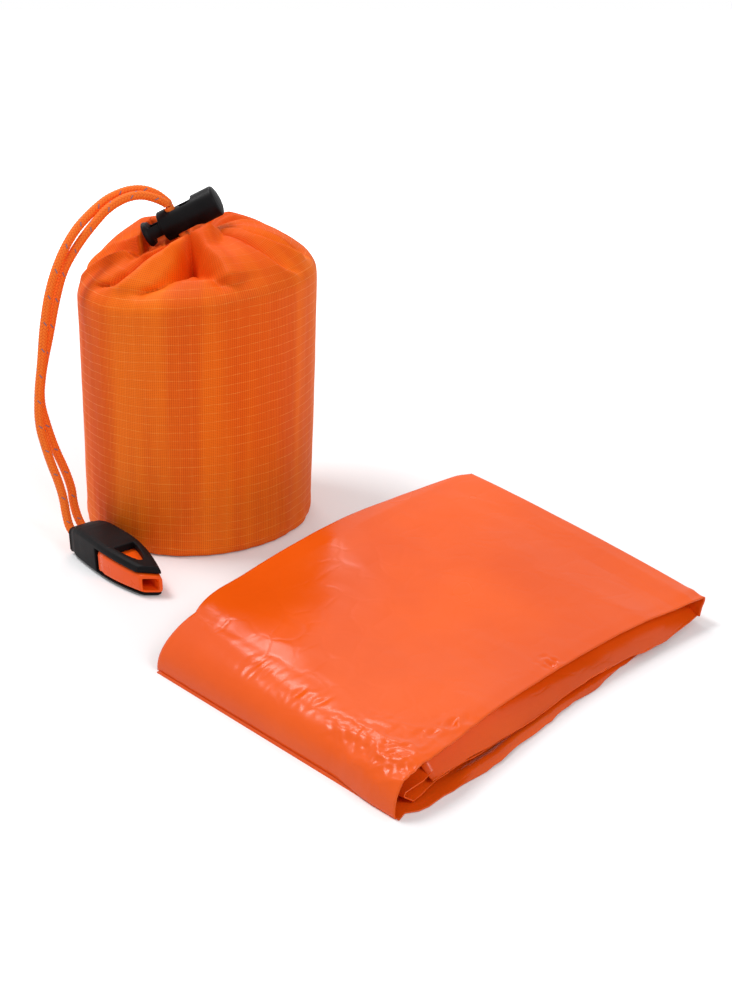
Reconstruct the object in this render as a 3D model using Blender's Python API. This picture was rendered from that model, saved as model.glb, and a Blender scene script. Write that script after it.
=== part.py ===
"""Emergency sleeping bag: a packed ripstop stuff sack with its drawcord, cord lock and whistle,
and the folded film bag that lies beside it. Metres, +Z up, origin at the centre of the sack's base.
"""

from math import cos, exp, pi, radians, sin, sqrt, tan

import bmesh
import bpy
from mathutils import Matrix, Vector

MM = 0.001

# Clearance between pieces that touch, and between pieces that slide on each other
SEAT_GAP = 0.3 * MM
SLIDE_GAP = 0.2 * MM

# Stuff sack: outer radius of the packed wall, height where the shoulder starts, and its cloth
SACK_RADIUS = 39.2 * MM
SHOULDER_HEIGHT = 84.5 * MM
SACK_LEAN = 0.042
CLOTH_THICKNESS = 0.6 * MM
BASE_THICKNESS = 0.8 * MM
BASE_CORNER = 4.0 * MM
BASE_TUCK = 1.6 * MM

# Gathered top: the ridge of the pleats, how much lower and nearer it lies at the front, and the pleats
RIDGE_RADIUS = 17.0 * MM
RIDGE_HEIGHT = 104.0 * MM
FRONT_ANGLE = radians(-115.0)
FRONT_DROP = 7.0 * MM
FRONT_NEARER = 4.0 * MM
SHOULDER_ROUNDNESS = 1.9
PLEAT_DEPTH = 2.6 * MM
PLEAT_WIDTH = radians(10.0)
PLEAT_FADE = 0.7
PLEAT_DRAWN_IN = 0.35
PLEAT_ANGLES = [radians(a) for a in (-165, -133, -62, -33, -4, 27, 62, 97, 130, 163)]
HOLLOW_DEPTH = 5.5 * MM
HOLLOW_WIDTH = radians(15.0)
HOLLOW_ANGLE = radians(-100.0)
WALL_SEGMENTS = 88
DOME_ROWS = 7
THROAT_SHARES = (0.35, 0.72)
THROAT_SWELL = 0.22
THROAT_MEETS_HEM = radians(30.0)
BASE_SEGMENTS = 72

# Side seam inside the wall
SEAM_WIDTH = 8.0 * MM
SEAM_THICKNESS = 0.7 * MM
SEAM_BOTTOM = 5.0 * MM
SEAM_STEPS = 4

# Rolled sleeping bag: folded film strip wound into a roll
ROLL_CLEARANCE = 0.5 * MM
ROLL_BELOW_SHOULDER = 4.5 * MM
ROLL_BELOW_LOCK = 13.7 * MM
ROLL_PITCH = 3.8 * MM
ROLL_LAYER = 3.2 * MM
ROLL_CORE_RADIUS = 3.0 * MM
ROLL_POINTS_PER_TURN = 24

# Drawcord and the hem that it runs in
CORD_DIAMETER = 2.8 * MM
CORD_IN_HEM_DIAMETER = 2.8 * MM
CORD_IN_LOCK_DIAMETER = 2.6 * MM
HEM_RING_RADIUS = 6.4 * MM
HEM_CLOTH = 0.5 * MM
HEM_RUFFLE = 0.4 * MM
HEM_RUFFLES = 11
HEM_STEPS = 44
HEM_SIDES = 8
HEM_OPENING = radians(43.0)
CORD_LEAVES_HEM = radians(21.0)
CORD_HEM_STEPS = 22
CORD_POINT_SPACING = 4.2 * MM
HEM_TILT = radians(20.0)
HEM_BELOW_LOCK = 9.9 * MM
THROAT_X = 2.4 * MM

# Cord lock: barrel, plunger and spring, along the barrel's own axis from its mouth
LOCK_TILT = radians(26.0)
LOCK_MOUTH_HEIGHT = 100.7 * MM
LOCK_MOUTH_X = -7.0 * MM
LOCK_MOUTH = Vector((LOCK_MOUTH_X, 0.0, LOCK_MOUTH_HEIGHT))
CLOTH_CLEAR_PAST_LOCK = 4.0 * MM
BARREL_LENGTH = 20.0 * MM
BARREL_DIAMETER = 10.0 * MM
BARREL_WALL = 1.0 * MM
BARREL_END_WALL = 1.4 * MM
BARREL_DOME = 0.8 * MM
BARREL_EDGE = 0.35 * MM
TURNED_SEGMENTS = 32
CORD_HOLE_START = 3.2 * MM
CORD_HOLE_END = 12.6 * MM
CORD_BELOW_BARREL = 1.8 * MM
PLUNGER_TRAVEL = 4.0 * MM
PLUNGER_STANDS_OUT = 6.3 * MM
PLUNGER_WEB = 1.5 * MM
PLUNGER_SLOT_START = -4.2 * MM
PLUNGER_EDGE = 0.4 * MM
FLANGE_DIAMETER = 8.4 * MM
FLANGE_THICKNESS = 1.6 * MM
SPRING_WIRE = 0.6 * MM
SPRING_DIAMETER = 6.4 * MM
SPRING_TURNS = 6
SPRING_POINTS_PER_TURN = 10

# Whistle, along its own axis from the tail to the mouth
WHISTLE_FROM_SACK = 8.674 * MM
WHISTLE_BEARING = radians(-134.408)
WHISTLE_PLACE = Vector((cos(WHISTLE_BEARING), sin(WHISTLE_BEARING), 0.0)) * (SACK_RADIUS + WHISTLE_FROM_SACK)
WHISTLE_TURN = radians(-49.8)
WHISTLE_FLOOR_GAP = 0.3 * MM
WHISTLE_REAR = -2.5 * MM
WHISTLE_FRONT = 44.5 * MM
WHISTLE_FACE_PLACE = 42.0 * MM
WHISTLE_FACE_SKEW = radians(40.2)
WHISTLE_HEIGHT = 12.0 * MM
WHISTLE_HALF_WIDTH = 6.3 * MM
WHISTLE_TAIL_HALF_WIDTH = 5.2 * MM
WHISTLE_NOSE_HALF_WIDTH = 1.8 * MM
WHISTLE_WIDEST = 19.0 * MM
WHISTLE_NOSE_DROP = 2.2 * MM
WHISTLE_TAIL_DROP = 2.6 * MM
WHISTLE_SWING = radians(75.0)
SHELL_STEP = 17.0 * MM
SHELL_SET_BACK = 0.9 * MM
SHELL_EDGE = 1.5 * MM
SHELL_STEPS = 16
BODY_EDGE = 1.1 * MM
BODY_STEPS = 12
BODY_RECESS = 1.6 * MM
LOWER_PRONG = 1.1 * MM
UPPER_PRONG = 2.4 * MM
WINDOW_START = 24.8 * MM
WINDOW_LENGTH = 11.0 * MM
WINDOW_RIM = 2.5 * MM
MOUTH_HEIGHT = 3.9 * MM
MOUTH_WALL = 0.8 * MM
MOUTH_DEPTH = 17.0 * MM
MOUTH_FLARE = 6.0 * MM
MOUTH_LEFT = -3.5 * MM
MOUTH_RIGHT = 2.0 * MM
AIR_WAY_HALF_WIDTH = 2.2 * MM
CHAMBER_RADIUS = 3.6 * MM
CHAMBER_HEIGHT = 5.0 * MM
CHAMBER_PLACE = 25.0 * MM
CHAMBER_SEGMENTS = 20
SOUND_SLOT_LENGTH = 4.6 * MM
SOUND_SLOT_HEIGHT = 2.6 * MM
STRAND_SPACING = 4.4 * MM
STRAND_HEIGHT = 5.5 * MM
STRAND_DEPTH = 5.0 * MM
STRAND_LEAD = 1.2 * MM

# Folded sleeping bag, along its open edge (length) and along its fold (width)
BAG_CORNER_X = 10.9 * MM
BAG_CORNER_Y = -99.4 * MM
BAG_CORNER = Vector((BAG_CORNER_X, BAG_CORNER_Y, 0.0))
BAG_TURN = radians(45.1)
BAG_LENGTH = 117.1 * MM
BAG_WIDTH = 92.7 * MM
BAG_FOLD_HEIGHT = 10.6 * MM
BAG_FAR_HEIGHT = 21.4 * MM
BAG_NEAR_HEIGHT = 8.2 * MM
BAG_CROWN = 2.4 * MM
BAG_EDGE_BOW = 4.5 * MM
BACK_BOW = 7.5 * MM
FAR_BOW = 5.0 * MM
FOLD_REACH = 13.9 * MM
FILM_BUNDLE = 1.0 * MM
INNER_LAYERS = 3
LAYER_SETBACK = 6.0 * MM
LAYER_TURN_REACH = 1.4 * MM
COVER_LIP = 4.0 * MM
COVER_LIP_FORWARD = 0.8 * MM
COVER_OPENS = radians(170.0)
NOSE_STEPS = 9
LAYER_STEPS = 6
COVER_STEPS = 12
ACROSS_STEPS = 5
LIFT_TRAVEL = 150.0 * MM

ORANGE_NYLON = (0.90, 0.22, 0.03)
ORANGE_FILM = (0.92, 0.20, 0.04)
ORANGE_CORD = (0.95, 0.25, 0.02)
ORANGE_PLASTIC = (0.95, 0.21, 0.03)
BLACK_PLASTIC = (0.015, 0.015, 0.017)
STEEL = (0.62, 0.62, 0.64)


def clear_scene():
    for old in list(bpy.data.objects):
        bpy.data.objects.remove(old)


def material(name, colour, roughness, metallic=0.0):
    made = bpy.data.materials.new(name)
    made.use_nodes = True
    shader = made.node_tree.nodes["Principled BSDF"]
    shader.inputs["Base Color"].default_value = (*colour, 1.0)
    shader.inputs["Roughness"].default_value = roughness
    shader.inputs["Metallic"].default_value = metallic
    return made


def link(name, data, finish, place=None, parent=None):
    made = bpy.data.objects.new(name, data)
    bpy.context.collection.objects.link(made)
    if finish is not None:
        data.materials.append(finish)
    made.parent = parent
    if place is not None:
        made.matrix_local = place
    return made


def from_bmesh(name, bm, finish, place=None, parent=None, smooth=True):
    bmesh.ops.recalc_face_normals(bm, faces=bm.faces[:])
    mesh = bpy.data.meshes.new(name)
    bm.to_mesh(mesh)
    bm.free()
    if smooth:
        mesh.shade_smooth()
        mesh.set_sharp_from_angle(angle=radians(40.0))
    return link(name, mesh, finish, place, parent)


def empty(name, place, parent=None):
    made = bpy.data.objects.new(name, None)
    bpy.context.collection.objects.link(made)
    made.parent = parent
    made.matrix_local = place
    return made


def cutter(name, bm, target, place=None):
    """A hidden shape that is taken away from its target."""
    bmesh.ops.recalc_face_normals(bm, faces=bm.faces[:])
    mesh = bpy.data.meshes.new(name)
    bm.to_mesh(mesh)
    bm.free()
    made = link(name, mesh, None, place or Matrix(), target.parent)
    made.hide_render = True
    made.display_type = "WIRE"
    cut = target.modifiers.new(name, "BOOLEAN")
    cut.object = made
    return made


def box_bmesh(low, high):
    bm = bmesh.new()
    centre = (Vector(low) + Vector(high)) / 2
    size = Vector(high) - Vector(low)
    bmesh.ops.create_cube(bm, size=1.0, matrix=Matrix.Translation(centre) @ Matrix.Diagonal((*size, 1.0)))
    return bm


def loft(sections, closed_section=True, closed_path=False, caps=True):
    """A skin through sections of equal point counts, with flat ends."""
    bm = bmesh.new()
    rings = [[bm.verts.new(p) for p in section] for section in sections]
    count = len(rings[0])
    steps = count if closed_section else count - 1
    pairs = list(zip(rings, rings[1:]))
    if closed_path:
        pairs.append((rings[-1], rings[0]))
    for first, second in pairs:
        for i in range(steps):
            j = (i + 1) % count
            bm.faces.new((first[i], first[j], second[j], second[i]))
    if caps and not closed_path:
        bm.faces.new(rings[0])
        bm.faces.new(rings[-1])
    return bm


def turned(profile, segments):
    """A turned solid about the local X axis, from (along, radius) points."""
    bm = bmesh.new()
    verts = [bm.verts.new((along, 0.0, radius)) for along, radius in profile]
    edges = [bm.edges.new(pair) for pair in zip(verts, verts[1:])]
    bmesh.ops.spin(
        bm, geom=verts + edges, cent=(0, 0, 0), axis=(1, 0, 0), angle=2 * pi, steps=segments, use_merge=True
    )
    bmesh.ops.remove_doubles(bm, verts=bm.verts[:], dist=0.001 * MM)
    return bm


def smooth_route(points, spacing):
    """Points at an even spacing on one smooth curve through the given ones."""
    ends = [2 * points[0] - points[1], *points, 2 * points[-1] - points[-2]]
    fine = []
    steps = 16
    for i in range(1, len(ends) - 2):
        before, here, after, beyond = ends[i - 1:i + 3]
        for k in range(steps):
            t = k / steps
            fine.append(
                0.5
                * (
                    2 * here
                    + (after - before) * t
                    + (2 * before - 5 * here + 4 * after - beyond) * t * t
                    + (3 * here - before - 3 * after + beyond) * t ** 3
                )
            )
    fine.append(points[-1])
    travelled = [0.0]
    for a, b in zip(fine, fine[1:]):
        travelled.append(travelled[-1] + (b - a).length)
    count = max(2, round(travelled[-1] / spacing))
    even = []
    place = 0
    for k in range(count + 1):
        target = travelled[-1] * k / count
        while place < len(fine) - 2 and travelled[place + 1] < target:
            place += 1
        share = (target - travelled[place]) / (travelled[place + 1] - travelled[place])
        even.append(fine[place].lerp(fine[place + 1], min(1.0, share)))
    return even


def tube(name, points, radii, finish, resolution=2):
    """A round tube along the points, with a radius at each."""
    data = bpy.data.curves.new(name, "CURVE")
    data.dimensions = "3D"
    data.bevel_depth = 1.0 * MM
    data.bevel_resolution = resolution
    data.use_fill_caps = True
    spline = data.splines.new("POLY")
    spline.points.add(len(points) - 1)
    for spot, point, radius in zip(spline.points, points, radii):
        spot.co = (*point, 1.0)
        spot.radius = radius / data.bevel_depth
    return link(name, data, finish)


def route_length(points):
    return sum((b - a).length for a, b in zip(points, points[1:]))


def lock_matrix():
    return Matrix.Translation(LOCK_MOUTH) @ Matrix.Rotation(-LOCK_TILT, 4, "Y")


def lock_point(along, across, up):
    return lock_matrix() @ Vector((along, across, up))


def plunger_radius():
    return BARREL_DIAMETER / 2 - BARREL_WALL - SLIDE_GAP


def strand_offset_in_lock():
    return (CORD_IN_LOCK_DIAMETER + SEAT_GAP) / 2


def slot_half_width():
    return strand_offset_in_lock() + CORD_IN_LOCK_DIAMETER / 2 + SEAT_GAP


def cord_place_in_lock():
    """Where the strands lie along the barrel: held against the start of its hole."""
    return CORD_HOLE_START + SEAT_GAP + CORD_IN_LOCK_DIAMETER / 2


def plunger_slot_end():
    return cord_place_in_lock() + CORD_IN_LOCK_DIAMETER / 2 + SEAT_GAP


def hem_centre():
    axis_height = LOCK_MOUTH.z + (THROAT_X - LOCK_MOUTH.x) * tan(LOCK_TILT)
    return Vector((THROAT_X, 0.0, axis_height - HEM_BELOW_LOCK))


def hem_matrix():
    return Matrix.Translation(hem_centre()) @ Matrix.Rotation(-HEM_TILT, 4, "Y")


def hem_tube_radius(angle):
    inside = CORD_IN_HEM_DIAMETER / 2 + SEAT_GAP
    return inside + HEM_CLOTH + HEM_RUFFLE * (0.5 + 0.5 * cos(HEM_RUFFLES * angle))


def lock_underside(x, y):
    """Height that cloth under the cord lock stays below, or None beside it."""
    clear = BARREL_DIAMETER / 2 + 2 * SEAT_GAP
    along = (x - LOCK_MOUTH.x) / cos(LOCK_TILT)
    first = -PLUNGER_STANDS_OUT - BARREL_DIAMETER / 2
    if abs(y) >= clear or not first <= along <= BARREL_LENGTH + CLOTH_CLEAR_PAST_LOCK:
        return None
    axis_height = LOCK_MOUTH.z + (x - LOCK_MOUTH.x) * tan(LOCK_TILT)
    return axis_height - sqrt(clear * clear - y * y) / cos(LOCK_TILT)


def gap_between_angles(a, b):
    return abs((a - b + pi) % (2 * pi) - pi)


def sack_meridian():
    """Rows of the wall from its lower edge to the ridge: radius, height, pleat share, gather share."""
    wall = SACK_RADIUS
    rows = [
        (wall - BASE_TUCK, SEAT_GAP, 0.0, 0.0),
        (wall - BASE_TUCK * 0.3, BASE_CORNER * 0.35, 0.0, 0.0),
        (wall, BASE_CORNER, 0.0, 0.0),
        (wall, SHOULDER_HEIGHT * 0.5, 0.0, 0.0),
        (wall, SHOULDER_HEIGHT * 0.85, 0.0, 0.0),
        (wall, SHOULDER_HEIGHT, 0.0, 0.0),
    ]
    for k in range(1, DOME_ROWS + 1):
        turn = k / DOME_ROWS * pi / 2
        radius = RIDGE_RADIUS + (wall - RIDGE_RADIUS) * cos(turn) ** SHOULDER_ROUNDNESS
        height = SHOULDER_HEIGHT + (RIDGE_HEIGHT - SHOULDER_HEIGHT) * sin(turn)
        gather = k / DOME_ROWS
        rows.append((radius, height, sin(turn) ** 2 * (1 - PLEAT_FADE * gather ** 3), gather))
    return rows


def throat_edge(angle):
    """The wall's upper edge, seated on the outside of the gathered hem."""
    reach = hem_tube_radius(angle) + SEAT_GAP + CLOTH_THICKNESS / 2
    radius = HEM_RING_RADIUS + reach * cos(THROAT_MEETS_HEM)
    return hem_matrix() @ Vector((radius * cos(angle), radius * sin(angle), reach * sin(THROAT_MEETS_HEM)))


def sack_section(row, angle):
    radius, height, pleats, gather = row
    front = gather * (0.5 + 0.5 * cos(angle - FRONT_ANGLE)) ** 2
    depth = sum(PLEAT_DEPTH * exp(-((gap_between_angles(angle, a) / PLEAT_WIDTH) ** 2)) for a in PLEAT_ANGLES)
    depth += HOLLOW_DEPTH * exp(-((gap_between_angles(angle, HOLLOW_ANGLE) / HOLLOW_WIDTH) ** 2))
    centre = SACK_LEAN * min(height, SHOULDER_HEIGHT)
    radius -= depth * pleats * PLEAT_DRAWN_IN + FRONT_NEARER * front
    height -= FRONT_DROP * front + depth * pleats
    x = centre + (THROAT_X - centre) * gather * gather + radius * cos(angle)
    y = radius * sin(angle)
    under = lock_underside(x, y)
    if under is not None:
        height = min(height, under)
    return Vector((x, y, height))


def make_sack_wall(finish):
    """Ripstop tube, closed below by the base and gathered above to the hem."""
    angles = [2 * pi * i / WALL_SEGMENTS for i in range(WALL_SEGMENTS)]
    rings = [[sack_section(row, a) for a in angles] for row in sack_meridian()]
    throat = [throat_edge(a) for a in angles]
    ridge = rings[-1]
    for share in THROAT_SHARES:
        ring = []
        for top, edge in zip(ridge, throat):
            between = top.lerp(edge, share)
            between.z += (top.z - edge.z) * THROAT_SWELL
            under = lock_underside(between.x, between.y)
            if under is not None:
                between.z = min(between.z, under)
            ring.append(between)
        rings.append(ring)
    rings.append(throat)
    bm = loft(rings, caps=False)
    wall = from_bmesh("sack_wall", bm, finish)
    shell = wall.modifiers.new("cloth", "SOLIDIFY")
    shell.thickness = CLOTH_THICKNESS
    shell.offset = -1.0
    return wall


def make_sack_base(finish):
    """Round bottom panel, flat on the floor, inside the wall's lower edge."""
    radius = SACK_RADIUS - BASE_TUCK - CLOTH_THICKNESS - SEAT_GAP
    bm = bmesh.new()
    bmesh.ops.create_cone(
        bm, cap_ends=True, segments=BASE_SEGMENTS, radius1=radius, radius2=radius, depth=BASE_THICKNESS,
        matrix=Matrix.Translation((0, 0, BASE_THICKNESS / 2)),
    )
    return from_bmesh("sack_base", bm, finish)


def sheared(x, y, z):
    return Vector((x + SACK_LEAN * z, y, z))


def make_side_seam(finish):
    """The panel's two edges, sewn together and laid flat inside the wall, at the back."""
    outer = SACK_RADIUS - CLOTH_THICKNESS - SEAT_GAP
    inner = outer - SEAM_THICKNESS
    half = SEAM_WIDTH / 2 / outer
    top = SHOULDER_HEIGHT - 2 * SEAM_BOTTOM
    sections = []
    for k in range(SEAM_STEPS + 1):
        angle = pi / 2 - half + 2 * half * k / SEAM_STEPS
        corners = ((inner, SEAM_BOTTOM), (outer, SEAM_BOTTOM), (outer, top), (inner, top))
        sections.append([sheared(r * cos(angle), r * sin(angle), z) for r, z in corners])
    return from_bmesh("side_seam", loft(sections), finish)


def make_roll(finish):
    """The sleeping bag as it is packed: a folded strip of film wound up from its inner end."""
    outside = SACK_RADIUS - CLOTH_THICKNESS - SEAT_GAP - SEAM_THICKNESS - ROLL_CLEARANCE
    turns = (outside - ROLL_LAYER - ROLL_CORE_RADIUS) / ROLL_PITCH
    count = int(turns * ROLL_POINTS_PER_TURN)
    low = BASE_THICKNESS + SEAT_GAP
    rim = SHOULDER_HEIGHT - ROLL_BELOW_SHOULDER
    middle = LOCK_MOUTH.z - ROLL_BELOW_LOCK
    sections = []
    for k in range(count + 1):
        turn = k / ROLL_POINTS_PER_TURN
        angle = 2 * pi * turn
        inner = ROLL_CORE_RADIUS + ROLL_PITCH * turn
        outer = inner + ROLL_LAYER
        top = rim + (middle - rim) * (1 - turn / turns)
        corners = ((inner, low), (outer, low), (outer, top), (inner, top))
        sections.append([sheared(r * cos(angle), r * sin(angle), z) for r, z in corners])
    print("rolled bag: %.1f turns, gap between layers %.2f mm" % (turns, (ROLL_PITCH - ROLL_LAYER) / MM))
    return from_bmesh("rolled_bag", loft(sections), finish)


def make_cord_channel(finish):
    """Gathered hem round the throat, a ruffled tube that is open where the cord comes out."""
    place = hem_matrix()
    start = pi + HEM_OPENING - 2 * pi
    end = pi - HEM_OPENING
    bore = CORD_IN_HEM_DIAMETER / 2 + SEAT_GAP
    outer_rings = []
    inner_rings = []
    for k in range(HEM_STEPS + 1):
        angle = start + (end - start) * k / HEM_STEPS
        outward = Vector((cos(angle), sin(angle), 0))
        centre = outward * HEM_RING_RADIUS
        outer = []
        inner = []
        for i in range(HEM_SIDES):
            turn = 2 * pi * i / HEM_SIDES
            spoke = outward * cos(turn) + Vector((0, 0, 1)) * sin(turn)
            outer.append(place @ (centre + spoke * hem_tube_radius(angle)))
            inner.append(place @ (centre + spoke * bore))
        outer_rings.append(outer)
        inner_rings.append(inner)
    path = outer_rings + inner_rings[::-1]
    return from_bmesh("cord_channel", loft(path, closed_path=True, caps=False), finish)


def channel_cord_route():
    """From the lock's upper mouth down one side, round the hem and up the other side."""
    place = hem_matrix()
    top = BARREL_DIAMETER / 2
    along = cord_place_in_lock()
    side = strand_offset_in_lock()
    below = top + CORD_BELOW_BARREL
    down = [lock_point(along, -side, up) for up in (top, 0.0, -top, -below)]
    ring = []
    start = pi + CORD_LEAVES_HEM
    end = 3 * pi - CORD_LEAVES_HEM
    for k in range(CORD_HEM_STEPS + 1):
        angle = start + (end - start) * k / CORD_HEM_STEPS
        ring.append(place @ Vector((HEM_RING_RADIUS * cos(angle), HEM_RING_RADIUS * sin(angle), 0)))
    up = [lock_point(along, side, height) for height in (-below, -top, 0.0, top)]
    return down + ring + up


def make_channel_cord(finish):
    route = channel_cord_route()
    in_lock = [CORD_IN_LOCK_DIAMETER / 2] * 4
    radii = in_lock + [CORD_IN_HEM_DIAMETER / 2] * (len(route) - 2 * len(in_lock)) + in_lock
    return tube("drawcord_in_channel", route, radii, finish)


def whistle_matrix():
    return Matrix.Translation(WHISTLE_PLACE) @ Matrix.Rotation(WHISTLE_TURN, 4, "Z")


def whistle_point(along, across, up):
    return whistle_matrix() @ Vector((along, across, up))


def pivot_matrix():
    """The swing axis lies across the tail's end, at the height of the cord."""
    return whistle_matrix() @ Matrix.Translation((WHISTLE_REAR, 0, STRAND_HEIGHT))


def whistle_in_pivot():
    return pivot_matrix().inverted() @ whistle_matrix()


# Free strands from the lock to the whistle: points in millimetres, chosen for a lock mouth at this
# height and a whistle at this distance from the sack's axis, with which they move
CHOSEN_LOCK_HEIGHT = 100.7
CHOSEN_WHISTLE_DISTANCE = 47.874
LEFT_STRAND = (
    (-9.0, 0.8, 111.3), (-13.7, -0.6, 112.9), (-18.4, -2.7, 112.5), (-23.3, -5.8, 110.7),
    (-28.1, -9.4, 107.1), (-32.8, -13.7, 102.2), (-37.0, -18.3, 94.9), (-40.4, -21.9, 85.5),
    (-42.7, -24.5, 74.6), (-44.3, -26.2, 63.3), (-45.9, -27.5, 52.9), (-46.5, -28.2, 43.3),
    (-45.3, -28.6, 35.4), (-43.7, -28.9, 28.6), (-41.8, -29.3, 21.8), (-40.6, -30.1, 14.9),
    (-39.6, -31.7, 9.0),
)
RIGHT_STRAND = (
    (-9.0, -3.0, 110.7), (-13.3, -5.2, 111.9), (-17.8, -7.3, 111.1), (-22.7, -9.6, 108.4),
    (-27.2, -12.0, 103.9), (-31.9, -14.0, 98.2), (-36.7, -16.6, 90.5), (-39.8, -18.9, 81.0),
    (-42.4, -21.0, 70.3), (-45.2, -22.4, 59.6), (-46.7, -23.2, 49.5), (-45.3, -23.6, 40.2),
    (-43.4, -23.9, 32.7), (-41.2, -24.2, 26.3), (-39.3, -24.8, 19.7), (-38.5, -25.9, 13.0),
    (-36.5, -28.1, 7.9),
)


def strand_point(x, y, z):
    outward = WHISTLE_PLACE.length / CHOSEN_WHISTLE_DISTANCE
    return Vector((x * outward, y * outward, z * LOCK_MOUTH_HEIGHT / CHOSEN_LOCK_HEIGHT))


def make_strand(name, side, chosen, finish):
    """One free end of the cord, from the lock into the whistle's tail; it crosses the other on its way."""
    lock_side = -side * strand_offset_in_lock()
    along = cord_place_in_lock()
    start = lock_point(along, lock_side, BARREL_DIAMETER / 2 + SEAT_GAP)
    lead = lock_point(along, lock_side, BARREL_DIAMETER / 2 + SEAT_GAP + STRAND_LEAD)
    across = side * STRAND_SPACING / 2
    mouth = whistle_point(WHISTLE_REAR, across, STRAND_HEIGHT)
    inside = whistle_point(WHISTLE_REAR + STRAND_DEPTH - SEAT_GAP, across, STRAND_HEIGHT)
    chosen = [strand_point(*point) for point in chosen]
    route = [start, *smooth_route([lead, *chosen, mouth, inside], CORD_POINT_SPACING)]
    radii = [CORD_DIAMETER / 2] * len(route)
    radii[0] = radii[1] = CORD_IN_LOCK_DIAMETER / 2
    print("%s: %.1f mm long" % (name, route_length(route) / MM))
    return tube(name, route, radii, finish)


def make_barrel(finish, frame):
    """Round tube, closed at one end, with an oval hole right through for the two strands."""
    outer = BARREL_DIAMETER / 2
    bore = outer - BARREL_WALL
    end = BARREL_LENGTH
    floor = end - BARREL_END_WALL
    edge = BARREL_EDGE
    profile = [
        (0.0, bore), (0.0, outer - edge), (edge, outer), (end - 2 * edge, outer), (end - edge / 2, outer - 2 * edge),
        (end + BARREL_DOME, outer * 0.45), (end + BARREL_DOME * 1.2, 0.0),
    ]
    inside = [(floor, 0.0), (floor, bore), (0.0, bore)]
    barrel = from_bmesh("cord_lock_barrel", turned(profile + inside, TURNED_SEGMENTS), finish, Matrix(), frame)
    hole = oval_prism(CORD_HOLE_START, CORD_HOLE_END, slot_half_width(), BARREL_DIAMETER)
    cutter("barrel_cord_hole", hole, barrel)
    return barrel


def oval_prism(start, end, half_width, half_height):
    """Upright prism along local X, with corners that fit round the strands."""
    corner = CORD_IN_LOCK_DIAMETER / 2 + SEAT_GAP
    points = []
    steps = 4
    centres = (
        (end - corner, corner - half_width, -pi / 2), (end - corner, half_width - corner, 0.0),
        (start + corner, half_width - corner, pi / 2), (start + corner, corner - half_width, pi),
    )
    for x, y, first in centres:
        for k in range(steps + 1):
            turn = first + pi / 2 * k / steps
            points.append((x + corner * cos(turn), y + corner * sin(turn)))
    return loft([[Vector((x, y, z)) for x, y in points] for z in (-half_height, half_height)])


def make_plunger(finish, frame):
    """Slotted rod with a flared thumb end. The web past the slot holds the cord and seats the spring."""
    rod = plunger_radius()
    inner_end = plunger_slot_end() + PLUNGER_WEB
    flange = -PLUNGER_STANDS_OUT
    edge = PLUNGER_EDGE
    profile = [
        (flange, 0.0), (flange, FLANGE_DIAMETER / 2 - edge), (flange + edge, FLANGE_DIAMETER / 2),
        (flange + FLANGE_THICKNESS * 0.6, FLANGE_DIAMETER / 2 - edge / 2), (flange + FLANGE_THICKNESS, rod),
        (inner_end - edge, rod), (inner_end, rod - edge), (inner_end, 0.0),
    ]
    plunger = from_bmesh("cord_lock_plunger", turned(profile, TURNED_SEGMENTS), finish, Matrix(), frame)
    slot = box_bmesh(
        (PLUNGER_SLOT_START, -slot_half_width(), -FLANGE_DIAMETER),
        (plunger_slot_end(), slot_half_width(), FLANGE_DIAMETER),
    )
    cutter("plunger_cord_slot", slot, plunger)
    return plunger


def make_spring(finish):
    """Open coil between the plunger's web and the barrel's closed end, with ends that run straight."""
    start = plunger_slot_end() + PLUNGER_WEB + SEAT_GAP + SPRING_WIRE / 2
    end = BARREL_LENGTH - BARREL_END_WALL - SEAT_GAP - SPRING_WIRE / 2
    radius = (SPRING_DIAMETER - SPRING_WIRE) / 2
    count = SPRING_TURNS * SPRING_POINTS_PER_TURN
    local = [Vector((start, -SPRING_WIRE, radius))]
    for k in range(count + 1):
        turn = 2 * pi * k / SPRING_POINTS_PER_TURN
        local.append(Vector((start + (end - start) * k / count, radius * sin(turn), radius * cos(turn))))
    local.append(Vector((end, SPRING_WIRE, radius)))
    closest = (end - start) / SPRING_TURNS - SPRING_WIRE
    for i, here in enumerate(local):
        for there in local[i + SPRING_POINTS_PER_TURN // 2:]:
            closest = min(closest, (here - there).length - SPRING_WIRE)
    print("spring: %d turns, least gap to itself %.2f mm" % (SPRING_TURNS, closest / MM))
    place = lock_matrix()
    points = [place @ p for p in local]
    return tube("cord_lock_spring", points, [SPRING_WIRE / 2] * len(points), finish, resolution=1)


def whistle_half_width(along):
    """Leaf-shaped outline: narrow tail, widest past the tail, slim nose."""
    if along < WHISTLE_WIDEST:
        share = (WHISTLE_WIDEST - along) / (WHISTLE_WIDEST - WHISTLE_REAR)
        narrow = WHISTLE_TAIL_HALF_WIDTH
    else:
        share = (along - WHISTLE_WIDEST) / (WHISTLE_FRONT - WHISTLE_WIDEST)
        narrow = WHISTLE_NOSE_HALF_WIDTH
    return WHISTLE_HALF_WIDTH - (WHISTLE_HALF_WIDTH - narrow) * share ** 1.9


def whistle_top(along):
    """Height of the shell's top, lower towards the tail's end and the nose."""
    if along < SHELL_STEP / 2:
        share = (SHELL_STEP / 2 - along) / (SHELL_STEP / 2 - WHISTLE_REAR)
        return WHISTLE_HEIGHT - WHISTLE_TAIL_DROP * share ** 2
    share = max(0.0, (along - WHISTLE_WIDEST) / (WHISTLE_FRONT - WHISTLE_WIDEST))
    return WHISTLE_HEIGHT - WHISTLE_NOSE_DROP * share ** 1.6


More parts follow.
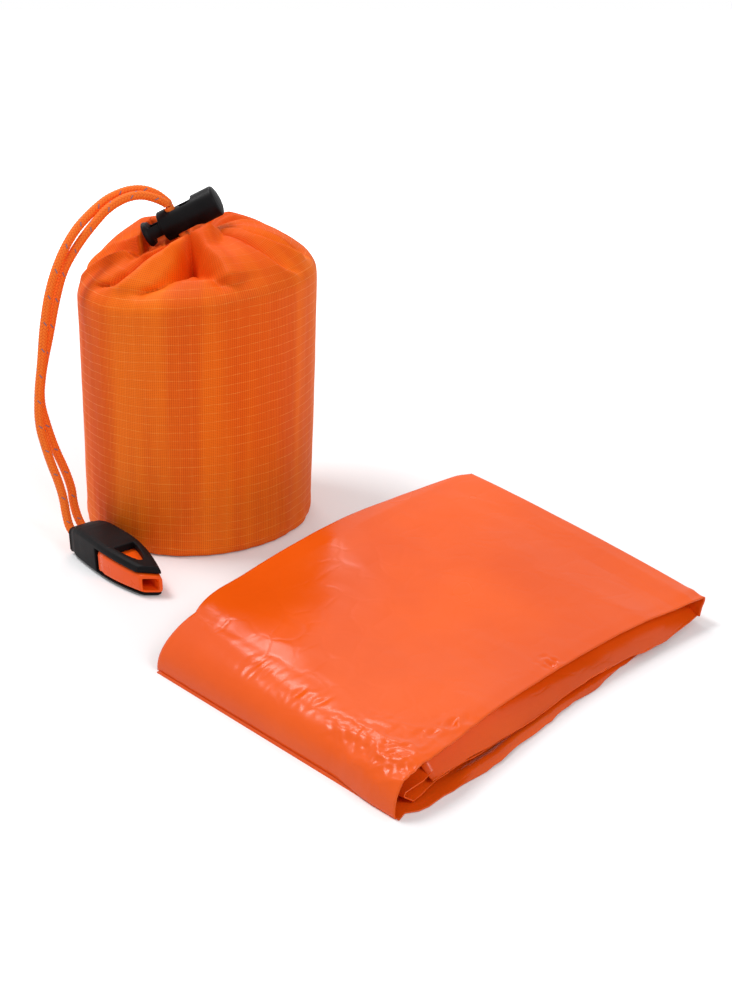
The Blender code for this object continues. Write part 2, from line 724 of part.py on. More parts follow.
def rounded_section(along, half, low, high, edge):
    """Cross-section with rounded corners, at one place along the whistle."""
    corners = []
    for across, up, rising in ((half, low, True), (half, high, False), (-half, high, True), (-half, low, False)):
        toward_x = -edge if across > 0 else edge
        toward_z = edge if up == low else -edge
        first = Vector((along, across + toward_x, up))
        second = Vector((along, across, up + toward_z))
        middle = Vector((along, across + toward_x * 0.3, up + toward_z * 0.3))
        corners += [first, middle, second] if rising else [second, middle, first]
    return corners


def whistle_loft(start, low, high, edge, steps):
    """Lofted leaf shape from its rear end, rounded there, to past the mouth's face."""
    sections = []
    for turn in (radians(6), radians(30), radians(58)):
        along = start + edge * (1 - sin(turn))
        narrower = edge * (1 - sin(turn)) * 0.35
        half = whistle_half_width(along) - narrower
        sections.insert(0, rounded_section(along, half, low(along) + narrower / 2, high(along) - narrower / 2, edge))
    for k in range(1, steps + 1):
        along = start + edge + (WHISTLE_FRONT - start - edge) * k / steps
        sections.append(rounded_section(along, whistle_half_width(along), low(along), high(along), edge))
    return loft(sections)


def face_cut(set_back):
    """The whistle's front is cut off at a slant, so that its mouth faces sideways as well."""
    size = 2 * WHISTLE_FRONT
    bm = box_bmesh((0, -size, -size), (size, size, size))
    slant = Matrix.Rotation(-WHISTLE_FACE_SKEW, 4, "Z")
    place = Matrix.Translation((WHISTLE_FACE_PLACE - set_back, 0, 0))
    bmesh.ops.transform(bm, matrix=place @ slant, verts=bm.verts[:])
    return bm


def shell_floor(_along):
    return WHISTLE_FLOOR_GAP


def body_floor(_along):
    return WHISTLE_FLOOR_GAP + LOWER_PRONG + SEAT_GAP


def body_top(along):
    return whistle_top(along) - UPPER_PRONG - SEAT_GAP


def window_outline():
    """Leaf-shaped like the whistle, with a flat rear end and a rounded front one."""
    points = []
    steps = 6
    for side in (1, -1):
        for k in range(steps + 1):
            turn = pi / 2 * (k if side > 0 else steps - k) / steps
            along = WINDOW_START + WINDOW_LENGTH * sin(turn)
            if side > 0 or k > 0:
                points.append((along, side * (whistle_half_width(along) - WINDOW_RIM) * cos(turn) ** 0.6))
    return points


def make_whistle_shell(finish, pivot):
    """Tail block with an upper and a lower prong that hold the body between them."""
    outside = whistle_loft(WHISTLE_REAR, shell_floor, whistle_top, SHELL_EDGE, SHELL_STEPS)
    shell = from_bmesh("whistle_shell", outside, finish, whistle_in_pivot(), pivot)
    cutter("shell_face_cut", face_cut(SHELL_SET_BACK), shell, whistle_in_pivot())
    wide = 2 * WHISTLE_HALF_WIDTH
    past_front = WHISTLE_FRONT + UPPER_PRONG
    sections = []
    for k in range(BODY_STEPS + 1):
        along = SHELL_STEP + (past_front - SHELL_STEP) * k / BODY_STEPS
        low = body_floor(along) - SEAT_GAP
        high = body_top(along) + SEAT_GAP
        sections.append([Vector((along, side * wide, up)) for side, up in ((-1, low), (1, low), (1, high), (-1, high))])
    cutter("shell_socket", loft(sections), shell, whistle_in_pivot())
    levels = (WHISTLE_HEIGHT - WHISTLE_NOSE_DROP - UPPER_PRONG, WHISTLE_HEIGHT + UPPER_PRONG)
    window = loft([[Vector((x, y, z)) for x, y in window_outline()] for z in levels])
    cutter("shell_window", window, shell, whistle_in_pivot())
    radius = CORD_DIAMETER / 2 + SEAT_GAP
    oval = []
    for side in (1, -1):
        for k in range(9):
            turn = pi * k / 8 - side * pi / 2
            oval.append((side * STRAND_SPACING / 2 + radius * cos(turn), radius * sin(turn)))
    ends = (WHISTLE_REAR - MM, WHISTLE_REAR + STRAND_DEPTH)
    socket = loft([[Vector((x, y, STRAND_HEIGHT + z)) for y, z in oval] for x in ends])
    cutter("shell_cord_socket", socket, shell, whistle_in_pivot())
    return shell


def face_point(across):
    """Where the slanted mouth face lies along the whistle, at a place across it."""
    return WHISTLE_FACE_PLACE + across * tan(WHISTLE_FACE_SKEW)


def air_way_outline():
    """From the inner end of the air way to just outside the slanted mouth."""
    left = -whistle_half_width(face_point(MOUTH_LEFT)) + MOUTH_WALL
    right = whistle_half_width(face_point(MOUTH_RIGHT)) - MOUTH_WALL
    inner = WHISTLE_FACE_PLACE - MOUTH_DEPTH
    outward = Vector((cos(WHISTLE_FACE_SKEW), -sin(WHISTLE_FACE_SKEW))) * MM
    first = Vector((face_point(left), left))
    second = Vector((face_point(right), right))
    narrow = WHISTLE_FACE_PLACE - MOUTH_FLARE
    points = [Vector((inner, -AIR_WAY_HALF_WIDTH)), Vector((narrow, -AIR_WAY_HALF_WIDTH)), first, first + outward]
    points += [second + outward, second, Vector((narrow, AIR_WAY_HALF_WIDTH)), Vector((inner, AIR_WAY_HALF_WIDTH))]
    return points


def make_whistle_body(finish, pivot):
    """Orange insert: an air way from the mouth slot to a round chamber with a slot at its side."""
    solid = whistle_loft(SHELL_STEP + BODY_RECESS, body_floor, body_top, BODY_EDGE, BODY_STEPS)
    body = from_bmesh("whistle_body", solid, finish, whistle_in_pivot(), pivot)
    cutter("body_face_cut", face_cut(0.0), body, whistle_in_pivot())
    middle = (body_floor(0) + body_top(WHISTLE_FRONT)) / 2
    levels = (middle - MOUTH_HEIGHT / 2, middle + MOUTH_HEIGHT / 2)
    air_way = loft([[Vector((p.x, p.y, z)) for p in air_way_outline()] for z in levels])
    cutter("body_air_way", air_way, body, whistle_in_pivot())
    chamber = bmesh.new()
    bmesh.ops.create_cone(
        chamber, cap_ends=True, segments=CHAMBER_SEGMENTS, radius1=CHAMBER_RADIUS, radius2=CHAMBER_RADIUS,
        depth=CHAMBER_HEIGHT, matrix=Matrix.Translation((CHAMBER_PLACE, 0, middle)),
    )
    cutter("body_chamber", chamber, body, whistle_in_pivot())
    slot = box_bmesh(
        (CHAMBER_PLACE - SOUND_SLOT_LENGTH / 2, 0.0, middle - SOUND_SLOT_HEIGHT / 2),
        (CHAMBER_PLACE + SOUND_SLOT_LENGTH / 2, 2 * WHISTLE_HALF_WIDTH, middle + SOUND_SLOT_HEIGHT / 2),
    )
    cutter("body_sound_slot", slot, body, whistle_in_pivot())
    return body


def bag_matrix():
    return Matrix.Translation(BAG_CORNER) @ Matrix.Rotation(BAG_TURN, 4, "Z")


def bag_point(along, out, up):
    """Along runs from the fold, out runs along the fold towards the open side."""
    return bag_matrix() @ Vector((along, -out, up))


def far_reach(out):
    """How much further the film reaches at its far end, half way along the fold."""
    return 1 + FAR_BOW / BAG_LENGTH * sin(pi * max(0.0, min(1.0, out / BAG_WIDTH)))


def back_edge(along, level):
    """Where a layer starts at the closed side, which bulges out most at the top."""
    return -BACK_BOW * level * sin(pi * max(0.0, min(1.0, along / BAG_LENGTH)) ** 1.15)


def film_top(along, out):
    """Height of the folded bag's upper face: puffed up at its far corner, low at the open side."""
    u = max(0.0, min(1.0, along / BAG_LENGTH))
    v = max(0.0, out / BAG_WIDTH)
    far = BAG_FOLD_HEIGHT + (BAG_FAR_HEIGHT - BAG_FOLD_HEIGHT) * u
    near = BAG_FOLD_HEIGHT + (BAG_NEAR_HEIGHT - BAG_FOLD_HEIGHT) * u
    return far + (near - far) * v + BAG_CROWN * sin(pi * u) * (1 - v) ** 2


def open_edge(along, level):
    """How far a layer reaches at the open side. The cover bows in, the bottom hardly at all."""
    bow = BAG_EDGE_BOW * sin(pi * max(0.0, min(1.0, along / BAG_LENGTH)))
    return BAG_WIDTH - bow * level


def film_ribbon(path, out_steps):
    """A folded sheet of film: its path of (along, level) points is swept along the fold."""
    half = FILM_BUNDLE / 2
    sections = []
    for step in range(out_steps + 1):
        middle = []
        for along, level in path:
            start = back_edge(along, level)
            out = start + (open_edge(along, level) - start) * step / out_steps
            top = film_top(along, out) - half
            reach = far_reach(out) if along > 0 else 1.0
            middle.append((along * reach, half + (top - half) * level, out))
        section = []
        for side in (1, -1):
            row = []
            for i, (along, height, out) in enumerate(middle):
                before = middle[max(0, i - 1)]
                after = middle[min(len(middle) - 1, i + 1)]
                run = after[0] - before[0]
                rise = after[1] - before[1]
                size = sqrt(run * run + rise * rise)
                row.append(bag_point(along - side * half * rise / size, out, height + side * half * run / size))
            section += row if side > 0 else row[::-1]
        sections.append(section)
    return sections


def ribbon_solid(sections):
    """Skins the ribbon, with quads between its two faces at both ends."""
    bm = loft(sections, caps=False)
    bm.verts.ensure_lookup_table()
    count = len(sections[0])
    for first in (0, (len(sections) - 1) * count):
        for i in range(count // 2 - 1):
            j = count - 1 - i
            bm.faces.new([bm.verts[first + n] for n in (i, i + 1, j - 1, j)])
    return bm


def nose_path():
    """From the crease at the cover leaf, round the outside of the fold, to the floor."""
    points = []
    for k in range(NOSE_STEPS + 1):
        turn = pi / 2 * k / NOSE_STEPS
        along = -SEAT_GAP / 2 - (FOLD_REACH - FILM_BUNDLE) * sin(turn) ** 0.9
        points.append((along, cos(turn) ** 0.8 if k < NOSE_STEPS else 0.0))
    return points


def inner_path():
    """The bottom leaf and the inner layers, folded to and fro above it."""
    points = nose_path()
    spacing = 1.0 / (INNER_LAYERS + 1)
    right = BAG_LENGTH - LAYER_SETBACK
    left = LAYER_SETBACK / 2
    points += [(left + (right - left) * k / LAYER_STEPS, 0.0) for k in range(LAYER_STEPS + 1)]
    for layer in range(1, INNER_LAYERS + 1):
        level = layer * spacing
        rightward = layer % 2 == 0
        turn_at = left if rightward else right
        reach = -LAYER_TURN_REACH if rightward else LAYER_TURN_REACH
        points += [(turn_at + reach * 0.8, level - spacing * 0.8)]
        points += [(turn_at + reach, level - spacing * 0.5)]
        points += [(turn_at + reach * 0.8, level - spacing * 0.2)]
        if rightward:
            right -= LAYER_SETBACK
        else:
            left += LAYER_SETBACK / 2
        first, last = (left, right) if rightward else (right, left)
        points += [(first + (last - first) * k / LAYER_STEPS, level) for k in range(LAYER_STEPS + 1)]
    return points


def make_folded_bag(finish, frame):
    solid = ribbon_solid(film_ribbon(inner_path(), ACROSS_STEPS))
    bmesh.ops.transform(solid, matrix=bag_matrix().inverted(), verts=solid.verts[:])
    return from_bmesh("folded_bag", solid, finish, Matrix(), frame)


def hinge_matrix():
    return Matrix.Translation((0, 0, BAG_FOLD_HEIGHT))


def make_cover_leaf(finish, hinge):
    """Top leaf of film, creased at the fold, with a short lip turned down at its far end."""
    path = [(SEAT_GAP / 2 + (BAG_LENGTH - SEAT_GAP) * k / COVER_STEPS, 1.0) for k in range(COVER_STEPS + 1)]
    lip = COVER_LIP / BAG_NEAR_HEIGHT
    lip_along = BAG_LENGTH + COVER_LIP_FORWARD
    path += [(lip_along, 1.0 - lip * 0.25), (lip_along, 1.0 - lip * 0.9)]
    solid = ribbon_solid(film_ribbon(path, ACROSS_STEPS))
    to_hinge = (bag_matrix() @ hinge_matrix()).inverted()
    bmesh.ops.transform(solid, matrix=to_hinge, verts=solid.verts[:])
    return from_bmesh("cover_leaf", solid, finish, Matrix(), hinge)


def build():
    clear_scene()
    nylon = material("ripstop_nylon", ORANGE_NYLON, 0.55)
    base_cloth = material("base_cloth", ORANGE_NYLON, 0.6)
    seam_cloth = material("seam_cloth", ORANGE_NYLON, 0.65)
    hem_cloth = material("hem_cloth", ORANGE_NYLON, 0.6)
    make_sack_wall(nylon)
    make_sack_base(base_cloth)
    make_side_seam(seam_cloth)
    make_cord_channel(hem_cloth)
    make_roll(material("packed_film", ORANGE_FILM, 0.35))

    make_channel_cord(material("hidden_cord", ORANGE_CORD, 0.7))
    make_strand("drawcord_left", -1, LEFT_STRAND, material("left_cord", ORANGE_CORD, 0.7))
    make_strand("drawcord_right", 1, RIGHT_STRAND, material("right_cord", ORANGE_CORD, 0.7))

    lock_frame = empty("cord_lock_axis", lock_matrix())
    make_barrel(material("barrel_plastic", BLACK_PLASTIC, 0.45), lock_frame)
    make_plunger(material("plunger_plastic", BLACK_PLASTIC, 0.4), lock_frame)
    make_spring(material("spring_steel", STEEL, 0.25, 1.0))

    whistle_pivot = empty("whistle_pivot", pivot_matrix())
    make_whistle_shell(material("whistle_black", BLACK_PLASTIC, 0.55), whistle_pivot)
    make_whistle_body(material("whistle_orange", ORANGE_PLASTIC, 0.25), whistle_pivot)

    bag_frame = empty("folded_bag_frame", bag_matrix())
    cover_hinge = empty("cover_hinge", hinge_matrix(), bag_frame)
    make_folded_bag(material("folded_film", ORANGE_FILM, 0.2), bag_frame)
    make_cover_leaf(material("cover_film", ORANGE_FILM, 0.18), cover_hinge)


build()
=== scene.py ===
"""Looks of the emergency sleeping bag in its stuff sack, with the folded film bag beside it."""

from math import cos, pi, radians, sin, tan

import bmesh
import bpy
import numpy as np
from mathutils import Matrix, Vector, noise


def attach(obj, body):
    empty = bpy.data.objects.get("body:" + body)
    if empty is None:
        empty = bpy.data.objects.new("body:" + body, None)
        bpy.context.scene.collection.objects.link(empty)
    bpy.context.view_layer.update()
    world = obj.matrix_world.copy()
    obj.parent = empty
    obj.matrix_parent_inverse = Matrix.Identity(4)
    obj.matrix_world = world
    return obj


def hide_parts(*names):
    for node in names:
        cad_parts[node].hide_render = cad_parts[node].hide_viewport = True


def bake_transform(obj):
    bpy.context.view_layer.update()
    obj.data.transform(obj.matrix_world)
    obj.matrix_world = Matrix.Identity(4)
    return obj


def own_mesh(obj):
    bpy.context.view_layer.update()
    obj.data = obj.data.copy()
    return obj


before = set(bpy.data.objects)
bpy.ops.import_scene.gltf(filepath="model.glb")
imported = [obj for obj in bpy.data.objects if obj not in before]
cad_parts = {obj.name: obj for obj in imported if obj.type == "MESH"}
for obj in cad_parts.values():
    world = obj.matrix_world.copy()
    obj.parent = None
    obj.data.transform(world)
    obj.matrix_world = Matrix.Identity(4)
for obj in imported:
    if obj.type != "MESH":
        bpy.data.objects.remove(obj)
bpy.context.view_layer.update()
scene = bpy.context.scene
MM = 0.001


# Studio
# White paper floor and room, a soft box high at the left, a weaker one at the right front and a strip
# behind for the glints. The paper glows for the camera alone, and less near the object, where its
# shadows stay.
camera_data = bpy.data.cameras.new("camera")
camera_data.lens = 46.8
camera_data.sensor_width = 36.0
camera = bpy.data.objects.new("camera", camera_data)
camera.location = (0.0589, -0.4223, 0.190)
camera.rotation_euler = (radians(66.2), 0.0, 0.0)
scene.collection.objects.link(camera)
scene.camera = camera
scene.view_settings.view_transform = "Standard"


def wire(tree, socket, value):
    """Gives a node's input a number, a colour or another node's output."""
    if isinstance(value, bpy.types.NodeSocket):
        tree.links.new(value, socket)
    else:
        socket.default_value = value


def node(tree, kind, settings=None, **inputs):
    """A shader node with its settings, and its inputs by name."""
    made = tree.nodes.new("ShaderNode" + kind)
    for key, value in (settings or {}).items():
        setattr(made, key, value)
    for key, value in inputs.items():
        wire(tree, made.inputs[key.replace("_", " ")], value)
    return made


def calculate(tree, operation, *values):
    made = node(tree, "Math", {"operation": operation})
    for socket, value in zip(made.inputs, values):
        wire(tree, socket, value)
    return made.outputs["Value"]


def times(tree, first, second):
    return calculate(tree, "MULTIPLY", first, second)


def mix_colours(tree, share, first, second):
    made = node(tree, "Mix", {"data_type": "RGBA"})
    wire(tree, made.inputs[0], share)
    wire(tree, made.inputs[6], first)
    wire(tree, made.inputs[7], second)
    return made.outputs[2]


def ramp(tree, value, low, high, low_gives=0.0, high_gives=1.0):
    """A soft step of a value between two limits."""
    made = node(
        tree, "MapRange", {"interpolation_type": "SMOOTHSTEP"},
        Value=value, From_Min=low, From_Max=high, To_Min=low_gives, To_Max=high_gives,
    )
    return made.outputs["Result"]


def finish_material(name, colour, roughness):
    """A material with its node tree and its main shader."""
    made = bpy.data.materials.new(name)
    made.use_nodes = True
    shader = made.node_tree.nodes["Principled BSDF"]
    shader.inputs["Base Color"].default_value = colour
    shader.inputs["Roughness"].default_value = roughness
    return made, made.node_tree, shader


ROOM_LEVEL = 0.46
world = bpy.data.worlds.new("white_room")
world.use_nodes = True
scene.world = world
room = world.node_tree
rays = node(room, "LightPath")
seen = calculate(room, "MAXIMUM", rays.outputs["Is Camera Ray"], rays.outputs["Is Transmission Ray"])
seen = calculate(room, "MAXIMUM", seen, rays.outputs["Is Glossy Ray"])
room.nodes["Background"].inputs["Color"].default_value = (1.0, 1.0, 1.0, 1.0)
wire(room, room.nodes["Background"].inputs["Strength"], ramp(room, seen, 0.0, 1.0, ROOM_LEVEL, 1.0))


def soft_box(name, place, aim, width, height, power):
    """A square of even light that faces a point."""
    data = bpy.data.lights.new(name, "AREA")
    data.shape = "RECTANGLE"
    data.size = width
    data.size_y = height
    data.energy = power
    lamp = bpy.data.objects.new(name, data)
    lamp.location = place
    lamp.rotation_euler = (Vector(aim) - Vector(place)).to_track_quat("-Z", "Y").to_euler()
    scene.collection.objects.link(lamp)


soft_box("key_box", (-0.42, 0.10, 0.98), (0.04, -0.06, 0.04), 0.36, 0.30, 5.8)
soft_box("side_box", (0.64, -0.70, 0.78), (0.06, -0.08, 0.02), 0.36, 0.36, 3.4)
soft_box("back_strip", (-0.15, 0.75, 0.95), (0.04, -0.10, 0.02), 0.30, 0.12, 1.8)

floor_bm = bmesh.new()
bmesh.ops.create_grid(floor_bm, x_segments=2, y_segments=2, size=3.0)
floor_mesh = bpy.data.meshes.new("paper_floor")
floor_bm.to_mesh(floor_mesh)
floor_bm.free()
paper, paper_tree, paper_shader = finish_material("white_paper", (0.90, 0.90, 0.91, 1.0), 0.9)
paper_rays = node(paper_tree, "LightPath")
paper_seen = calculate(
    paper_tree, "MAXIMUM", paper_rays.outputs["Is Camera Ray"], paper_rays.outputs["Is Transmission Ray"]
)
paper_shader.inputs["Emission Color"].default_value = (1.0, 1.0, 1.0, 1.0)
paper_place = node(paper_tree, "TexCoord").outputs["Object"]
paper_away = node(paper_tree, "VectorMath", {"operation": "LENGTH"})
wire(paper_tree, paper_away.inputs[0], paper_place)
paper_glow = ramp(paper_tree, paper_away.outputs["Value"], 0.14, 0.50, 0.08, 0.75)
paper_light = times(paper_tree, paper_seen, paper_glow)
wire(paper_tree, paper_shader.inputs["Emission Strength"], paper_light)
floor_mesh.materials.append(paper)
floor = bpy.data.objects.new("paper_floor", floor_mesh)
scene.collection.objects.link(floor)


# Drawcord, its two free strands
# One polyester cord of 2.8 mm, braided from sixteen yarns, one of them a reflective tracer yarn. Both
# ends come up out of the lock's hole, cross over beside the sack's shoulder and end in the whistle.
CORD_DIAMETER = 2.8 * MM
CORD_IN_LOCK_DIAMETER = 2.6 * MM
BRAID_YARNS = 8
BRAID_PITCH = 1.05 * MM
BRAID_RELIEF = 0.16 * MM
TRACER_YARN = 3
ROUTE_SPACING = 4.2 * MM
LEFT_STRAND = (
    (-9.0, 0.8, 111.3), (-13.7, -0.6, 112.9), (-18.4, -2.7, 112.5), (-23.3, -5.8, 110.7),
    (-28.1, -9.4, 107.1), (-32.8, -13.7, 102.2), (-37.0, -18.3, 94.9), (-40.4, -21.9, 85.5),
    (-42.7, -24.5, 74.6), (-44.3, -26.2, 63.3), (-45.9, -27.5, 52.9), (-46.5, -28.2, 43.3),
    (-45.3, -28.6, 35.4), (-43.7, -28.9, 28.6), (-41.8, -29.3, 21.8), (-40.6, -30.1, 14.9),
    (-39.6, -31.7, 9.0),
)
RIGHT_STRAND = (
    (-9.0, -3.0, 110.7), (-13.3, -5.2, 111.9), (-17.8, -7.3, 111.1), (-22.7, -9.6, 108.4),
    (-27.2, -12.0, 103.9), (-31.9, -14.0, 98.2), (-36.7, -16.6, 90.5), (-39.8, -18.9, 81.0),
    (-42.4, -21.0, 70.3), (-45.2, -22.4, 59.6), (-46.7, -23.2, 49.5), (-45.3, -23.6, 40.2),
    (-43.4, -23.9, 32.7), (-41.2, -24.2, 26.3), (-39.3, -24.8, 19.7), (-38.5, -25.9, 13.0),
    (-36.5, -28.1, 7.9),
)
LOCK_MOUTH = Vector((-7.0, 0.0, 100.7)) * MM
LOCK_TILT = radians(26.0)
CORD_IN_LOCK = 4.8 * MM
LOCK_SURFACE = 5.3 * MM
WHISTLE_PLACE = Vector((-33.5, -34.2, 0.0)) * MM
WHISTLE_TURN = radians(-49.8)
WHISTLE_REAR = -2.5 * MM
STRAND_SPACING = 4.4 * MM
STRAND_HEIGHT = 5.5 * MM
lock_axis = Matrix.Translation(LOCK_MOUTH) @ Matrix.Rotation(-LOCK_TILT, 4, "Y")
whistle_axis = Matrix.Translation(WHISTLE_PLACE) @ Matrix.Rotation(WHISTLE_TURN, 4, "Z")


def smooth_route(points, spacing):
    """Evenly spaced points on one smooth curve through the given ones."""
    ends = [2 * points[0] - points[1], *points, 2 * points[-1] - points[-2]]
    fine = []
    steps = 24
    for before, here, after, beyond in zip(ends, ends[1:], ends[2:], ends[3:]):
        for k in range(steps):
            t = k / steps
            swing = (after - before) * t + (2 * before - 5 * here + 4 * after - beyond) * t * t
            fine.append(here + 0.5 * (swing + (3 * here - before - 3 * after + beyond) * t ** 3))
    fine.append(points[-1])
    line = np.array(fine)
    gone = np.concatenate(([0.0], np.cumsum(np.linalg.norm(np.diff(line, axis=0), axis=1))))
    count = max(2, round(gone[-1] / spacing))
    even = np.linspace(0.0, gone[-1], count + 1)
    return [Vector([np.interp(s, gone, line[:, i]) for i in range(3)]) for s in even]


def cloth_grid(name, columns, rows, place, cut):
    """A grid of cloth or film. place(u, v) gives its points, and cut(u, v) their spot on the flat piece."""
    bm = bmesh.new()
    bm.loops.layers.uv.new("cut")
    bmesh.ops.create_grid(bm, x_segments=columns, y_segments=rows, size=0.5, calc_uvs=True)
    mesh = bpy.data.meshes.new(name)
    bm.to_mesh(mesh)
    bm.free()
    flat = np.empty(3 * len(mesh.vertices))
    mesh.vertices.foreach_get("co", flat)
    u = flat[0::3] + 0.5
    v = flat[1::3] + 0.5
    points = np.asarray(place(u, v), dtype=np.float32)
    mesh.vertices.foreach_set("co", points.ravel())
    corner = np.empty(len(mesh.loops), dtype=np.int32)
    mesh.loops.foreach_get("vertex_index", corner)
    across, along = cut(u, v)
    spots = np.stack((across[corner], along[corner]), axis=1).astype(np.float32)
    mesh.uv_layers["cut"].data.foreach_set("uv", spots.ravel())
    return mesh


def paint(mesh, name, values):
    """Keeps a number for each point of the mesh, for its material to read."""
    layer = mesh.attributes.new(name, "FLOAT", "POINT")
    layer.data.foreach_set("value", np.asarray(values, dtype=np.float32))


def close_seams(mesh, caps=False):
    """Joins edges that meet, closes open ends if asked, and turns every face outwards."""
    bm = bmesh.new()
    bm.from_mesh(mesh)
    bmesh.ops.remove_doubles(bm, verts=bm.verts[:], dist=0.002 * MM)
    if caps:
        rims = [e for e in bm.edges if e.is_boundary]
        bmesh.ops.holes_fill(bm, edges=rims, sides=0)
    bmesh.ops.recalc_face_normals(bm, faces=bm.faces[:])
    bm.to_mesh(mesh)
    bm.free()
    mesh.shade_smooth()


def stand_for(node_name):
    """The piece takes a CAD node's place: that node is hidden."""
    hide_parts(node_name)


def add_piece(name, mesh, material):
    mesh.materials.clear()
    mesh.materials.append(material)
    made = bpy.data.objects.new(name, mesh)
    scene.collection.objects.link(made)
    return made


def frames_along(line):
    """Two cross directions at each point of a line, turned as little as possible on the way."""
    ahead = np.gradient(line, axis=0)
    ahead /= np.linalg.norm(ahead, axis=1)[:, None]
    side = np.cross(ahead[0], (0.0, 0.0, 1.0))
    if np.linalg.norm(side) < 0.1:
        side = np.cross(ahead[0], (0.0, 1.0, 0.0))
    sides = []
    for direction in ahead:
        side = side - direction * side.dot(direction)
        side = side / np.linalg.norm(side)
        sides.append(side)
    sides = np.array(sides)
    return sides, np.cross(ahead, sides)


def braid(along, around):
    """Height of the braid, two yarns over and two under, and where the tracer yarn is on top."""
    first = BRAID_YARNS * around + along / BRAID_PITCH
    second = BRAID_YARNS * around - along / BRAID_PITCH
    step = (np.floor(first) + np.floor(second)) % 4
    over = step < 1.5
    across = np.where(over, first % 1.0, second % 1.0)
    onward = np.where(over, step + second % 1.0, step - 2 + first % 1.0) / 2
    height = np.sin(pi * across) ** 0.6 * (0.35 + 0.65 * np.sin(pi * onward))
    fleck = np.clip(1.7 - 5.0 * np.abs(across - 0.5), 0.0, 1.0)
    tracer = over & (np.floor(first) % BRAID_YARNS == TRACER_YARN)
    return height, tracer * fleck


def cord_mesh(name, route, radii, ring_gap, sides, relief=0.0, start_along=0.0):
    """A round cord along a route, with its braid standing up from the surface."""
    fine = smooth_route(route, ring_gap)
    line = np.array(fine)
    gone = np.concatenate(([0.0], np.cumsum(np.linalg.norm(np.diff(line, axis=0), axis=1))))
    knots = np.concatenate(([0.0], np.cumsum([(b - a).length for a, b in zip(route, route[1:])])))
    radius = np.interp(gone / gone[-1], knots / knots[-1], radii)
    sides_at, lifts_at = frames_along(line)
    count = len(fine) - 1

    def place(u, v):
        i = np.rint(u * count).astype(int)
        height, _ = braid(gone[i] + start_along, v)
        out = radius[i] + relief * (height - 0.6)
        turn = 2 * pi * v
        spoke = sides_at[i] * np.cos(turn)[:, None] + lifts_at[i] * np.sin(turn)[:, None]
        return line[i] + spoke * out[:, None]

    def cut(u, v):
        return u * gone[-1], v * 2 * pi * CORD_DIAMETER / 2

    mesh = cloth_grid(name, count, sides, place, cut)
    if relief:
        grid = np.linspace(0.0, 1.0, count + 1)
        turns = np.linspace(0.0, 1.0, sides + 1)
        along, around = np.meshgrid(grid, turns)
        height, tracer = braid(along.ravel() * gone[-1] + start_along, around.ravel())
        # The braid's height, which the cord's material turns into painted shade between the crossings
        paint(mesh, "height", height)
        paint(mesh, "tracer", tracer)
    close_seams(mesh, caps=True)
    return mesh


def flat_spot(tree):
    """Place on the flat piece, in metres."""
    return node(tree, "UVMap", {"uv_map": "cut"}).outputs["UV"]


def mottle(tree, place, scale, detail, **others):
    """Cloudy noise, from 0 to 1."""
    return node(tree, "TexNoise", Vector=place, Scale=scale, Detail=detail, **others).outputs["Fac"]


def relief_and_gloss(tree, shader, height, strength, depth, gloss):
    """Fine relief of a depth in millimetres, and how strongly the surface shines."""
    bump = node(tree, "Bump", Strength=strength, Distance=depth * MM, Height=height)
    wire(tree, shader.inputs["Normal"], bump.outputs["Normal"])
    shader.inputs["Specular IOR Level"].default_value = gloss


def braided_cord(name):
    """Orange yarn, with painted shade making it darker down between the crossings, and blue-grey flecks of
    tracer yarn.
    """
    made, tree, shader = finish_material(name, (0.90, 0.20, 0.05, 1.0), 0.62)
    height = node(tree, "Attribute", {"attribute_name": "height"}).outputs["Fac"]
    tracer = node(tree, "Attribute", {"attribute_name": "tracer"}).outputs["Fac"]
    cut = flat_spot(tree)
    fibres = mottle(tree, cut, 2600.0, 3.0, Roughness=0.6)
    # Painted shade: the yarn is darker where the braid lies low between the crossings
    unshaded_share = ramp(tree, height, 0.1, 0.7)
    yarn = mix_colours(tree, unshaded_share, (0.86, 0.075, 0.003, 1.0), (1.0, 0.205, 0.016, 1.0))
    yarn = mix_colours(tree, ramp(tree, fibres, 0.45, 0.75, 0.0, 0.45), yarn, (1.0, 0.30, 0.06, 1.0))
    grey = mix_colours(tree, fibres, (0.12, 0.10, 0.13, 1.0), (0.28, 0.25, 0.32, 1.0))
    wire(tree, shader.inputs["Base Color"], mix_colours(tree, ramp(tree, tracer, 0.35, 0.65), yarn, grey))
    relief_and_gloss(tree, shader, fibres, 0.35, 0.1, 0.2)
    return made


def strand_route(side, chosen):
    """From the lock's hole to inside the whistle's tail."""
    lock_side = -side * (CORD_IN_LOCK_DIAMETER + 0.3 * MM) / 2
    start = lock_axis @ Vector((CORD_IN_LOCK, lock_side, LOCK_SURFACE))
    lead = lock_axis @ Vector((CORD_IN_LOCK, lock_side, LOCK_SURFACE + 1.2 * MM))
    across = side * STRAND_SPACING / 2
    mouth = whistle_axis @ Vector((WHISTLE_REAR, across, STRAND_HEIGHT))
    inside = whistle_axis @ Vector((WHISTLE_REAR + 4.7 * MM, across, STRAND_HEIGHT))
    points = [Vector(p) * MM for p in chosen]
    return [start, *smooth_route([lead, *points, mouth, inside], ROUTE_SPACING)]


cord_finish = braided_cord("braided_cord")
strands = []
for name, side, chosen in (("left_strand", -1, LEFT_STRAND), ("right_strand", 1, RIGHT_STRAND)):
    route = strand_route(side, chosen)
    radii = [CORD_IN_LOCK_DIAMETER / 2] * 2 + [CORD_DIAMETER / 2] * (len(route) - 2)
    strand_mesh = cord_mesh(name, route, radii, 0.18 * MM, 56, BRAID_RELIEF, side * 2.2 * MM)
    strand = add_piece(name, strand_mesh, cord_finish)
    strands.append((strand, route))


